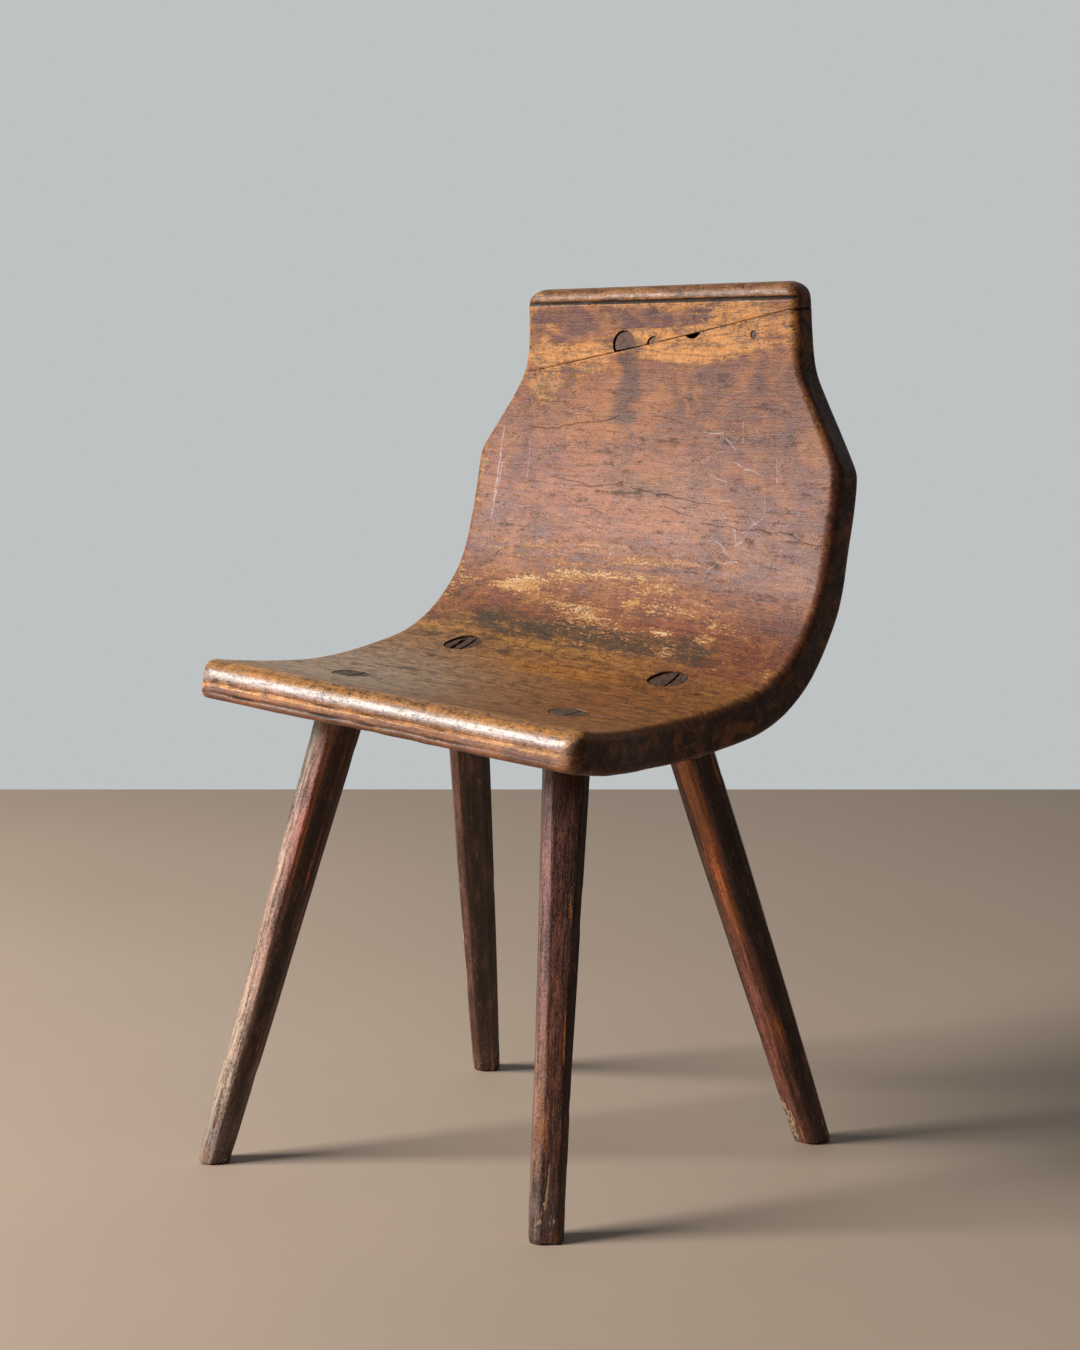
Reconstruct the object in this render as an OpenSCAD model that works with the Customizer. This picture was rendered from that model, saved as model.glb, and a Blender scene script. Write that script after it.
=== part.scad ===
// Folk chair: one hewn board bends from seat to back and stands on four
// splayed legs, whose round tenons pass through the seat and are wedged from
// above. The top of the back is a spliced piece above a slanting seam.
// Millimetres, Z up, floor at z = 0. The front of the chair faces -Y.
// Left and right are as seen from the front: left is -X.

/* [Board profile] */
// Height of the lowest point of the seat above the floor
seat_height = 438.9; // [360:0.1:530]
// Radius of the seat's hollow, front to back
seat_hollow_r = 706; // [500:1:1200]
// Angle that the seat has risen to at its front edge
front_rise = 10.8; // [6:0.1:14]
// Angle that the seat has risen to where the bend starts
rear_rise = 9.8; // [6:0.1:14]
// Radius of the bend between seat and back, on the sitter's side
bend_r = 140; // [90:5:180]
// Angle of the back where the bend ends
lean_start = 73.5; // [66:0.5:80]
// Radius of the back's hollow, bottom to top
back_hollow_r = 693; // [500:1:1200]
// Angle of the back at its top edge
lean_end = 94.1; // [88:0.1:98]
// Wind of the seat: how far its right side hangs lower, in degrees
seat_wind = 3; // [-4:0.05:4]
// Wind of the top edge, in degrees
top_wind = -2.2; // [-4:0.05:4]

/* [Board outline] */
// Width at the front edge
front_w = 441; // [365:1:530]
// Width at the seat's waist
waist_w = 417; // [360:1:500]
// Width at the shoulders
shoulder_w = 431; // [360:1:500]
// Width of the neck below the top edge
neck_w = 321; // [240:1:350]
// Distance from the front edge to the waist, along the board
waist_run = 145; // [110:1:180]
// Length of the flare from the waist out to the front
flare_run = 110; // [60:1:140]
// Distance from the top edge down to the shoulders, along the board
shoulder_drop = 163; // [140:1:200]
// Distance from the top edge down to the foot of the neck
neck_drop = 78; // [60:1:100]
// How softly the cheeks run into the neck
neck_easing = 10.6; // [4:0.2:20]
// How softly the shoulders turn into the cheeks
shoulder_easing = 3.5; // [2:0.5:10]
// Plan radius of the two front corners
front_corner_r = 12; // [4:1:24]
// Radius of the two top corners
top_corner_r = 16; // [6:1:30]

/* [Board thickness] */
// Thickness at the front edge
front_t = 36; // [30:0.5:40]
// Thickness in the middle of the bend
bend_t = 40; // [34:0.5:50]
// Thickness at the shoulders
shoulder_t = 37.5; // [30:0.5:42]
// Thickness at the top edge
top_t = 27.5; // [24:0.5:34]
// Radius worn on the front and top edges
nose_r = 11; // [6:0.5:11.5]
// Radius worn on the lower corner of the front edge
under_r = 6; // [3:0.5:11.5]
// Radius worn on the long side edges
arris_r = 9; // [4:0.5:11.5]
// Radius of the bead grooves
groove_r = 2; // [1:0.25:3]
// Distance from the top edge down to its bead groove
top_groove_drop = 13.5; // [12:0.5:20]
// Depth of the front groove below the seat's surface
front_groove_drop = 22; // [18:0.5:26]

/* [Legs] */
// Foot of the front left leg on the floor, x and y
front_left_foot = [-190, -206]; // [-260:1:260]
// Foot of the front right leg
front_right_foot = [185, -182]; // [-260:1:260]
// Foot of the rear left leg
rear_left_foot = [-199, 191]; // [-260:1:260]
// Foot of the rear right leg
rear_right_foot = [198, 198]; // [-260:1:260]
// Head of the front left leg: x, and distance from the front edge
front_left_head = [-121, 96]; // [-150:1:300]
// Head of the front right leg
front_right_head = [121, 111]; // [-150:1:300]
// Head of the rear left leg
rear_left_head = [-126, 257]; // [-150:1:300]
// Head of the rear right leg
rear_right_head = [118, 258]; // [-150:1:300]
// Width of the front left leg at the foot, at a third, at two thirds, on top
front_left_girth = [27, 30.5, 34.5, 39]; // [26:0.5:50]
// Width of the front right leg at the same four places
front_right_girth = [29.5, 30.5, 34.5, 40.5]; // [26:0.5:50]
// Width of the rear left leg
rear_left_girth = [26.5, 32, 36.5, 41]; // [26:0.5:50]
// Width of the rear right leg
rear_right_girth = [29.5, 33, 35.5, 36]; // [26:0.5:50]
// Which way the broad faces of the four legs look, front left first
leg_faces = [58.5, 45, 45, 79.5]; // [0:0.5:90]
// Width of the chamfer taken off each corner of a leg
leg_chamfer = 6.5; // [4:0.5:8]

/* [Tenons and wedges] */
// Diameter of the round tenons
tenon_d = 34; // [28:0.5:36]
// How far a tenon ends below the seat's surface
tenon_sink = 1; // [0.5:0.1:2]
// How deep the saw kerf and its wedge run into a tenon
wedge_depth = 30; // [20:1:34]
// Thickness of a wedge at its head
wedge_head_t = 4.5; // [3:0.1:6]
// Thickness of a wedge at its tip
wedge_tip_t = 1.2; // [0.8:0.1:2]
// How far a wedge sits off the middle of its tenon, to the right
wedge_offset = 6; // [0:0.5:8]
// Which way the wedges run, seen from above
wedge_angle = 100; // [80:1:110]

/* [Splice] */
// Distance from the top edge down to the seam, at mid width
seam_drop = 52.5; // [43.5:0.5:60]
// Slope of the seam across the back
seam_angle = 10; // [4:0.5:12]
// Diameter of the large old hole and its plug
large_plug_d = 26; // [16:0.5:28]
// Place of the large plug: x, and height of its middle above the seam
large_plug_at = [-38, 3]; // [-60:0.5:60]
// Diameter of the small old hole and its plug
small_plug_d = 15; // [8:0.5:18]
// Place of the small plug: x, and height of its middle above the seam
small_plug_at = [-3, -2]; // [-60:0.5:60]
// How deep the old holes run into the front of the back
plug_depth = 18; // [12:0.5:22]
// How far the old plugs have shrunk below the surface
plug_sink = 1.2; // [0.5:0.1:3]
// Diameter of the open old hole, whose lowest part is left below the seam
open_hole_d = 22; // [18:0.5:26]
// Place of the open hole: x, and height of its middle above the seam
open_hole_at = [41.5, 8]; // [-60:0.5:60]
// Depth of the open hole
open_hole_depth = 14; // [8:0.5:20]
// Diameter of the hidden dowels that hold the splice
dowel_d = 10; // [6:0.5:12]
// Length of each dowel
dowel_len = 56; // [40:1:60]
// Places of the left and right dowel across the back
dowel_x = [-113, 113]; // [-130:1:130]
// Diameter of the peg that pins the right dowel
peg_d = 7; // [4:0.5:8]
// How far the peg sits below the seam
peg_drop = 10; // [8:0.5:18]
// How far the peg ends below the surface
peg_sink = 0.5; // [0.2:0.1:2]

/* [Fits] */
// Radial room between a tenon and its mortise
tenon_gap = 0.1; // [0.05:0.05:0.5]
// Room between the shoulder of a leg and the board
leg_gap = 0.05; // [0.05:0.05:0.5]
// Room on each side of a wedge
wedge_gap = 0.05; // [0.05:0.05:0.3]
// Width of the open seam
seam_gap = 0.3; // [0.1:0.1:1]
// Radial room round the plugs, the dowels and the peg
plug_gap = 0.1; // [0.05:0.05:0.3]

/* [Hidden] */

$fn = 64;                // sides of a cylinder where its true curve can't be kept
RAD = 180 / PI;          // degrees in a radian
low_y = -50.5;           // the seat is lowest here, before the chair is centred
station_step = 12;       // spacing of the board's cross-sections
corner_steps = 3;        // facets on each rounded corner of a cross-section
nose_steps = 5;          // cross-sections that round each end of the board
least_flat = 1;          // flat left between two rounded corners of a cross-section
tenon_root = 90;         // a tenon starts this far below the seat, buried in its leg
below_floor = 30;        // how far an uncut foot passes the floor
through = 12;            // how far a cutter passes the surface it leaves
far = 400;               // larger than any part of the back
paint = "#6b3a2b";
bare_wood = "#a06a38";
old_wood = "#5a4436";

// ---- The path of the board's upper surface, by arc length s ----

seat_len = seat_hollow_r * (front_rise + rear_rise) / RAD;
bend_len = bend_r * (lean_start - rear_rise) / RAD;
bend_end = seat_len + bend_len;
board_len = bend_end + back_hollow_r * (lean_end - lean_start) / RAD;
bend_mid = seat_len + bend_len / 2;
waist_s = waist_run;
shoulder_s = board_len - shoulder_drop;
neck_s = board_len - neck_drop;
seam_s = board_len - seam_drop;

function heading(s) =
    s < seat_len ? s * RAD / seat_hollow_r - front_rise :
    s < bend_end ? rear_rise + (s - seat_len) * RAD / bend_r :
    lean_start + (s - bend_end) * RAD / back_hollow_r;

// End of an arc of radius r from the y, z point p, turning from angle a to b
function arc_on(p, a, b, r) = p + r * [sin(b) - sin(a), cos(a) - cos(b)];

front_end = arc_on([low_y, seat_height], 0, -front_rise, seat_hollow_r);
seat_end = arc_on(front_end, -front_rise, rear_rise, seat_hollow_r);
back_start = arc_on(seat_end, rear_rise, lean_start, bend_r);

function path(s) =
    s < seat_len ? arc_on(front_end, -front_rise, heading(s), seat_hollow_r) :
    s < bend_end ? arc_on(seat_end, rear_rise, heading(s), bend_r) :
    arc_on(back_start, lean_start, heading(s), back_hollow_r);

// The board is in wind: from a quarter of the way round the bend, its slope
// across the width changes up the back
wind_start = seat_len + bend_len / 4;
function wind(s) = lookup(s, [[wind_start, seat_wind], [board_len, top_wind]]);

// A point at x across the board, s along it and n above its surface
function on_surface(x, s, n = 0) =
    let (p = path(s), a = heading(s))
    [x, p[0] - n * sin(a), p[1] + n * cos(a) - x * tan(wind(s))];

// ---- Its outline and thickness ----

function ease(u) = let (v = max(0, min(1, u))) v * v * (3 - 2 * v);
function soft_max(a, b, k) = (a + b + sqrt((a - b) ^ 2 + k ^ 2)) / 2;
function soft_min(a, b, k) = (a + b - sqrt((a - b) ^ 2 + k ^ 2)) / 2;

// What a corner of radius r takes off at distance d from the end
function corner_loss(d, r) = d >= r ? 0 : r - sqrt(max(0, r ^ 2 - (r - d) ^ 2));

// Half the width: a flare, a waist, straight sides, slanting cheeks and a neck
function sides(s) = (s < waist_s
    ? waist_w + (front_w - waist_w) * ease((waist_s - s) / flare_run)
    : waist_w + (shoulder_w - waist_w) * ease((s - waist_s) / (bend_mid - waist_s))) / 2;
function cheeks(s) = neck_w / 2 + (shoulder_w - neck_w) / 2 * (neck_s - s) / (neck_s - shoulder_s);
function half_width(s) =
    soft_max(soft_min(sides(s), cheeks(s), shoulder_easing), neck_w / 2, neck_easing)
    - corner_loss(s, front_corner_r) - corner_loss(board_len - s, top_corner_r);

function thickness(s) = lookup(s,
    [[0, front_t], [bend_mid, bend_t], [shoulder_s, shoulder_t], [board_len, top_t]]);

// How far a face draws in where the ends are worn round: to radius r at the
// front, and to nose_r at the top
function nose_loss(s, r) = corner_loss(s, r) + corner_loss(board_len - s, nose_r);

// ---- The board as a stack of rounded cross-sections ----

function nose_distance(i) = nose_r * (1 - cos(90 * i / nose_steps));
plain_steps = ceil((board_len - 2 * nose_r) / station_step);
stations = concat(
    [for (i = [0 : nose_steps - 1]) nose_distance(i)],
    [for (i = [0 : plain_steps]) nose_r + (board_len - 2 * nose_r) * i / plain_steps],
    [for (i = [nose_steps - 1 : -1 : 0]) board_len - nose_distance(i)]);

// One cross-section: sink lowers the upper face, deeper lowers the lower face
function section(s, sink, deeper) =
    let (w = half_width(s),
         up = -nose_loss(s, nose_r) - sink,
         down = nose_loss(s, under_r) - thickness(s) - deeper,
         r = min(arris_r, (up - down - least_flat) / 2))
    [for (c = [0 : 3], i = [0 : corner_steps])
        let (a = 90 * (c + i / corner_steps),
             cx = (c == 0 || c == 3) ? w - r : r - w,
             cn = c < 2 ? up - r : down + r)
        on_surface(cx + r * cos(a), s, cn + r * sin(a))];

// Joins rings of points that run clockwise seen from the stack's end
module loft(rings) {
    n = len(rings[0]);
    last = len(rings) - 1;
    walls = [for (k = [0 : last - 1], i = [0 : n - 1], half = [0, 1])
        let (j = (i + 1) % n, a = k * n, b = a + n)
        half == 0 ? [a + i, a + j, b + i] : [a + j, b + j, b + i]];
    polyhedron(
        points = [for (ring = rings) each ring],
        faces = concat([[for (i = [n - 1 : -1 : 0]) i]], walls,
                       [[for (i = [0 : n - 1]) last * n + i]]));
}

module board_blank(from = 0, to = board_len, sink = 0, deeper = 0) {
    loft([for (s = stations) if (s >= from && s <= to) section(s, sink, deeper)]);
}

// The stretch of board that the legs reach
module leg_stretch(sink = 0, deeper = 0) {
    board_blank(nose_r, bend_end, sink, deeper);
}

// Stands its children on the board: X across, Y along it, Z out of its surface
module on_board(x, s) {
    translate(on_surface(x, s)) rotate([heading(s), 0, 0]) children();
}

// ---- Legs ----

feet = [front_left_foot, front_right_foot, rear_left_foot, rear_right_foot];
heads = [front_left_head, front_right_head, rear_left_head, rear_right_head];
girths = [front_left_girth, front_right_girth, rear_left_girth, rear_right_girth];

function foot(i) = [feet[i][0], feet[i][1], 0];
function head(i) = on_surface(heads[i][0], heads[i][1]);
function leg_len(i) = norm(head(i) - foot(i));

// Runs Z of its children from the foot of leg i to its head, with X turned
// towards the azimuth face
module on_leg(i, face) {
    d = head(i) - foot(i);
    az = atan2(d[1], d[0]);
    translate(foot(i)) rotate([0, acos(d[2] / norm(d)), az]) rotate([0, 0, face - az]) children();
}

// A square with chamfered corners, h above the foot
function leg_section(i, h) =
    let (w = lookup(h / body_len(i), [for (k = [0 : 3]) [k / 3, girths[i][k] / 2]]),
         c = w - leg_chamfer)
    [for (p = [[w, c], [w, -c], [c, -w], [-c, -w], [-w, -c], [-w, c], [-c, w], [c, w]])
        [p[0], p[1], h]];

// The octagonal body ends half way into the board and is scribed to its underside
function body_len(i) = leg_len(i) - thickness(heads[i][1]) / 2;

module leg_body(i) {
    difference() {
        on_leg(i, leg_faces[i])
            loft([for (h = [-below_floor, 0, body_len(i) / 3, body_len(i) * 2 / 3, body_len(i)])
                  leg_section(i, h)]);
        translate([foot(i)[0], foot(i)[1], -2 * below_floor])
            cube(4 * below_floor, center = true);
        translate([0, 0, -leg_gap]) leg_stretch();
    }
}

module tenon_bar(i, r) {
    on_leg(i, 0)
        translate([0, 0, leg_len(i) - tenon_root])
        cylinder(r = r, h = tenon_root + through);
}

// The wedge's tapering profile, grown by gap on each side
module wedge_bar(i, gap) {
    on_leg(i, wedge_angle - 90)
        translate([wedge_offset, 0, leg_len(i)])
        rotate([90, 0, 0])
        linear_extrude(height = 2 * tenon_d, center = true)
        polygon([[-wedge_tip_t / 2 - gap, -wedge_depth - gap],
                 [wedge_tip_t / 2 + gap, -wedge_depth - gap],
                 [wedge_head_t / 2 + gap, through],
                 [-wedge_head_t / 2 - gap, through]]);
}

module leg(i) {
    color(paint) union() {
        leg_body(i);
        difference() {
            intersection() {
                tenon_bar(i, tenon_d / 2);
                leg_stretch(sink = tenon_sink, deeper = through);
            }
            wedge_bar(i, wedge_gap);
        }
    }
}

module wedge(i) {
    color(bare_wood) intersection() {
        tenon_bar(i, tenon_d / 2 - wedge_gap);
        leg_stretch(sink = tenon_sink);
        wedge_bar(i, 0);
    }
}

// ---- Board, splice and what fills its holes ----

// Everything above the seam, starting a distance lift over it
module above_seam(lift) {
    on_board(0, seam_s) rotate([0, 0, seam_angle]) translate([-far, lift, -far]) cube(2 * far);
}

// Stands its children at x across the back and up above the seam there
module at_seam(place) {
    on_board(0, seam_s) translate([place[0], place[0] * tan(seam_angle) + place[1], 0]) children();
}

// A bore straight into the front of the back
module bore_at_seam(place, d, depth, above = through) {
    at_seam(place) translate([0, 0, -depth]) cylinder(d = d, h = depth + above);
}

module dowel_bar(x, gap) {
    at_seam([x, 0])
        translate([0, 0, -thickness(seam_s) / 2])
        rotate([-90, 0, 0])
        cylinder(d = dowel_d + 2 * gap, h = dowel_len + 2 * gap, center = true);
}

// The peg runs through the right dowel and a dowel's width past its middle
module peg_bar(gap, sink) {
    bore_at_seam([dowel_x[1], -peg_drop], peg_d + 2 * gap,
                 thickness(seam_s) / 2 + dowel_d + gap, -sink);
}

// A straight groove across the board, turned to its wind
module groove(s, n) {
    translate(on_surface(0, s, n)) rotate([0, 90 + wind(s), 0])
        cylinder(r = groove_r, h = 2 * far, center = true);
}

module splice_holes() {
    bore_at_seam(large_plug_at, large_plug_d + 2 * plug_gap, plug_depth);
    bore_at_seam(small_plug_at, small_plug_d + 2 * plug_gap, plug_depth);
}

module dowel_holes() {
    for (x = dowel_x) dowel_bar(x, plug_gap);
}

module seat_back_board() {
    color(paint) difference() {
        board_blank();
        above_seam(-seam_gap / 2);
        for (i = [0 : 3]) tenon_bar(i, tenon_d / 2 + tenon_gap);
        bore_at_seam(open_hole_at, open_hole_d, open_hole_depth);
        dowel_holes();
        peg_bar(plug_gap, -through);
        groove(0, -front_groove_drop);
    }
}

module back_top_piece() {
    color(bare_wood) difference() {
        intersection() {
            board_blank(from = bend_end);
            above_seam(seam_gap / 2);
        }
        splice_holes();
        dowel_holes();
        groove(board_len - top_groove_drop, 0);
    }
}

module plug(place, d) {
    color(old_wood) intersection() {
        bore_at_seam(place, d, plug_depth - plug_gap, -plug_sink);
        above_seam(seam_gap / 2);
    }
}

module dowel(x) {
    color(bare_wood) difference() {
        dowel_bar(x, 0);
        peg_bar(plug_gap, -through);
    }
}

module dowel_peg() {
    color(old_wood) peg_bar(0, peg_sink);
}

// ---- The chair stands centred over its own outline ----

// Corners of a leg's section where it crosses the floor
function foot_corners(i) =
    let (d = head(i) - foot(i), az = atan2(d[1], d[0]), tilt = acos(d[2] / norm(d)),
         turn = leg_faces[i] - az)
    [for (q = leg_section(i, 0))
        let (u = q[0] * cos(turn) - q[1] * sin(turn), v = q[0] * sin(turn) + q[1] * cos(turn),
             along = u / cos(tilt))
        [foot(i)[0] + along * cos(az) - v * sin(az), foot(i)[1] + along * sin(az) + v * cos(az)]];

outline = concat(
    [for (s = stations) each section(s, 0, 0)],
    [for (i = [0 : 3]) each foot_corners(i)]);
middle_x = (min([for (p = outline) p[0]]) + max([for (p = outline) p[0]])) / 2;
middle_y = (min([for (p = outline) p[1]]) + max([for (p = outline) p[1]])) / 2;

module centred() {
    translate([-middle_x, -middle_y, 0]) children();
}

centred() seat_back_board();
centred() back_top_piece();
centred() leg(0);  // front_left_leg
centred() leg(1);  // front_right_leg
centred() leg(2);  // rear_left_leg
centred() leg(3);  // rear_right_leg
centred() wedge(0);  // front_left_wedge
centred() wedge(1);  // front_right_wedge
centred() wedge(2);  // rear_left_wedge
centred() wedge(3);  // rear_right_wedge
centred() plug(large_plug_at, large_plug_d);  // large_plug
centred() plug(small_plug_at, small_plug_d);  // small_plug
centred() dowel(dowel_x[0]);  // left_dowel
centred() dowel(dowel_x[1]);  // right_dowel
centred() dowel_peg();
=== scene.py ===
"""Finish of a folk chair: one bent board on four splayed legs, worn red-brown paint over wood."""
import math
import bmesh
import bpy
import numpy as np
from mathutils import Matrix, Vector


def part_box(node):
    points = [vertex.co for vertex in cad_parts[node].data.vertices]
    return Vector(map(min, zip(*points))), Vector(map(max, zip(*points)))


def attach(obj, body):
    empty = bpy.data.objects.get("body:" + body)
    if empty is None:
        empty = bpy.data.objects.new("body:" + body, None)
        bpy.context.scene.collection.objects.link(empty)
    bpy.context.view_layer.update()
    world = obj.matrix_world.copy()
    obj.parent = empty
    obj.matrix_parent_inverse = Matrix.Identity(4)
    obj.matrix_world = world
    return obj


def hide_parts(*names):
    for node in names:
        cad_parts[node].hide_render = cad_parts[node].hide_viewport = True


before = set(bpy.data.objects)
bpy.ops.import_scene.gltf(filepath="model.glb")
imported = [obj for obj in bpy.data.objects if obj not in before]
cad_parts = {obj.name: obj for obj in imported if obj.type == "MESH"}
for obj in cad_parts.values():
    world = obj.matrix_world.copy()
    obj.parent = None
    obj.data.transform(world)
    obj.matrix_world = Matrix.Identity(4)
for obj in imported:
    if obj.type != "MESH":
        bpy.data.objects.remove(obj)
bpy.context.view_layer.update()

MM = 0.001
DEG = math.pi / 180

# ---- Sizes of the board and the legs ----

SEAT_HEIGHT = 438.9 * MM
LOW_Y = -50.5 * MM
FRONT_RISE = 10.8 * DEG
REAR_RISE = 9.8 * DEG
LEAN_START = 73.5 * DEG
LEAN_END = 94.1 * DEG
SEAT_R = 706 * MM
BEND_R = 140 * MM
BACK_R = 693 * MM
SEAT_WIND = 3 * DEG
TOP_WIND = -2.2 * DEG
SEAT_LEN = SEAT_R * (FRONT_RISE + REAR_RISE)
BEND_LEN = BEND_R * (LEAN_START - REAR_RISE)
BEND_END = SEAT_LEN + BEND_LEN
BEND_MID = SEAT_LEN + BEND_LEN / 2
BOARD_LEN = BEND_END + BACK_R * (LEAN_END - LEAN_START)

FRONT_W = 441 * MM
WAIST_W = 417 * MM
SHOULDER_W = 431 * MM
NECK_W = 321 * MM
WAIST_S = 145 * MM
FLARE_RUN = 110 * MM
SHOULDER_S = BOARD_LEN - 163 * MM
NECK_S = BOARD_LEN - 78 * MM
NECK_EASING = 10.6 * MM
SHOULDER_EASING = 3.5 * MM
FRONT_CORNER_R = 12 * MM
TOP_CORNER_R = 16 * MM
NOSE_R = 11 * MM
BEAD_R = 17 * MM
UNDER_R = 6 * MM
ARRIS_R = 9 * MM
LOW_ARRIS_R = 7 * MM
SEAM_ARRIS_R = 0.8 * MM
THICK_AT = [0, BEND_MID, SHOULDER_S, BOARD_LEN]
THICK = [36 * MM, 40 * MM, 37.5 * MM, 27.5 * MM]

SEAM_S = BOARD_LEN - 52.5 * MM
SEAM_SLOPE = math.tan(10 * DEG)
SEAM_GAP = 0.3 * MM
TOP_GROOVE_S = BOARD_LEN - 13.5 * MM

LEG_NAMES = ["front_left", "front_right", "rear_left", "rear_right"]
FEET = np.array([[-190, -206], [185, -182], [-199, 191], [198, 198]]) * MM
HEADS = np.array([[-121, 96], [121, 111], [-126, 257], [118, 258]]) * MM
GIRTHS = np.array([[27, 30.5, 34.5, 39], [29.5, 30.5, 34.5, 40.5],
                   [26.5, 32, 36.5, 41], [29.5, 33, 35.5, 36]]) * MM
LEG_FACES = np.array([58.5, 45, 45, 79.5]) * DEG
LEG_CHAMFER = 6.5 * MM
TENON_R = 17 * MM
TENON_PLAY = 0.15 * MM
UNDERSIDE_PLAY = 0.1 * MM
TENON_SINK = [0.4 * MM, 0.5 * MM, 1.3 * MM, 0.9 * MM]
END_ROUGH = [0.4 * MM, 0.4 * MM, 0.85 * MM, 0.85 * MM]
OVALS = [1.0, 1.0, 1.12, 1.12]
WEDGE_ANGLE = 100 * DEG
WEDGE_OFFSET = 6 * MM
WEDGE_DEPTH = 30 * MM
WEDGE_HEAD = 4.5 * MM
WEDGE_TIP = 1.1 * MM
KERF_TIP = 1.3 * MM
KERF_OVER = 8 * MM

# ---- Number helpers ----


def ease(u):
    """Smooth step from 0 to 1 as u goes from 0 to 1."""
    v = np.clip(u, 0, 1)
    return v * v * (3 - 2 * v)


def rise(value, low, high):
    """Smooth step as value goes from low to high."""
    return ease((value - low) / (high - low))


def bell(offset, half):
    """A hill that is 1 at offset 0 and e to the minus one at half: e to minus the ratio squared."""
    return np.exp(-(offset / half) ** 2)


def soft_max(a, b, k):
    """The larger of a and b, with the change from one to the other eased over about k."""
    return (a + b + np.sqrt((a - b) ** 2 + k * k)) / 2


def soft_min(a, b, k):
    """The smaller of a and b, eased in the same way."""
    return (a + b - np.sqrt((a - b) ** 2 + k * k)) / 2


def corner_loss(d, r):
    """What a rounded corner of radius r takes off at distance d from its end."""
    inside = np.clip(r - d, 0, r)
    return np.where(d < r, r - np.sqrt(r * r - inside ** 2), 0)


def mottle(u, v, cell_u, cell_v, seed):
    """Smooth noise from -1 to 1: random heights on a lattice of the given cells, eased between.

    Places start from the middle of the lattice, which repeats after its rows and columns.
    """
    rows, cols = 61, 67
    table = np.random.default_rng(seed).uniform(-1, 1, (rows, cols))
    a = u / cell_u + 29.4
    b = v / cell_v + 31.7
    i = np.floor(a).astype(int)
    j = np.floor(b).astype(int)
    fa = ease(a - i)
    fb = ease(b - j)
    i0, i1 = i % rows, (i + 1) % rows
    j0, j1 = j % cols, (j + 1) % cols
    low = table[i0, j0] * (1 - fa) + table[i1, j0] * fa
    high = table[i0, j1] * (1 - fa) + table[i1, j1] * fa
    return low * (1 - fb) + high * fb


def linear(code):
    """A web colour as linear red, green and blue."""
    parts = [int(code[k:k + 2], 16) / 255 for k in (1, 3, 5)]
    return np.array([p / 12.92 if p <= 0.04045 else ((p + 0.055) / 1.055) ** 2.4 for p in parts])


# ---- The board's surface: x across, s along, n out of the sitter's side ----


def arc_on(start, turn0, turn1, r):
    """End of an arc of radius r from a y, z point, its direction turning from turn0 to turn1."""
    return (start[0] + r * (np.sin(turn1) - np.sin(turn0)),
            start[1] + r * (np.cos(turn0) - np.cos(turn1)))


FRONT_END = arc_on((LOW_Y, SEAT_HEIGHT), 0, -FRONT_RISE, SEAT_R)
SEAT_END = arc_on(FRONT_END, -FRONT_RISE, REAR_RISE, SEAT_R)
BACK_START = arc_on(SEAT_END, REAR_RISE, LEAN_START, BEND_R)
ARCS = [(FRONT_END, 0.0, -FRONT_RISE, SEAT_R),
        (SEAT_END, SEAT_LEN, REAR_RISE, BEND_R),
        (BACK_START, BEND_END, LEAN_START, BACK_R)]


def wind(s):
    """The board's twist at s, changing evenly from the start of the bend to the top."""
    return np.interp(s, [SEAT_LEN + BEND_LEN / 4, BOARD_LEN], [SEAT_WIND, TOP_WIND])


def board_point(x, s, n):
    """Three arcs end to end give the path; n goes square to it, and the wind drops z with x."""
    y = np.zeros(np.broadcast(x, s, n).shape)
    z = np.zeros_like(y)
    s = s + np.zeros_like(y)
    for start, s0, turn0, r in ARCS:
        here = s >= s0 if s0 > 0 else np.ones_like(y, bool)
        turn = turn0 + (s - s0) / r
        ay, az = arc_on(start, turn0, turn, r)
        y = np.where(here, ay - n * np.sin(turn), y)
        z = np.where(here, az + n * np.cos(turn), z)
    return np.stack([x + np.zeros_like(y), y, z - x * np.tan(wind(s))], -1)


def board_place(points):
    """The inverse: each arc's own centre gives the turn, so s, and the distance to it gives n."""
    x = points[:, 0]
    s = np.full(len(points), SEAT_LEN)
    # The wind to undo depends on s, so the two are settled in a few rounds
    for _ in range(8):
        y = points[:, 1]
        z = points[:, 2] + x * np.tan(wind(s))
        found_s = np.zeros(len(points))
        found_n = np.zeros(len(points))
        for start, s0, turn0, r in ARCS:
            cy = start[0] - r * np.sin(turn0)
            cz = start[1] + r * np.cos(turn0)
            turn = np.arctan2(y - cy, cz - z)
            here = turn >= turn0 if s0 > 0 else np.ones(len(points), bool)
            found_s = np.where(here, s0 + r * (turn - turn0), found_s)
            found_n = np.where(here, r - np.hypot(y - cy, z - cz), found_n)
        s = found_s
    return x, s, found_n


def half_width(s):
    """A flare, a waist, straight sides, slanting cheeks and a neck, with rounded corners."""
    flare = WAIST_W + (FRONT_W - WAIST_W) * ease((WAIST_S - s) / FLARE_RUN)
    straight = WAIST_W + (SHOULDER_W - WAIST_W) * ease((s - WAIST_S) / (BEND_MID - WAIST_S))
    sides = np.where(s < WAIST_S, flare, straight) / 2
    cheeks = NECK_W / 2 + (SHOULDER_W - NECK_W) / 2 * (NECK_S - s) / (NECK_S - SHOULDER_S)
    plan = soft_max(soft_min(sides, cheeks, SHOULDER_EASING), NECK_W / 2, NECK_EASING)
    return plan - corner_loss(s, FRONT_CORNER_R) - corner_loss(BOARD_LEN - s, TOP_CORNER_R)


def thickness(s):
    """The board's thickness at s, straight between its named places."""
    return np.interp(s, THICK_AT, THICK)


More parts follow.
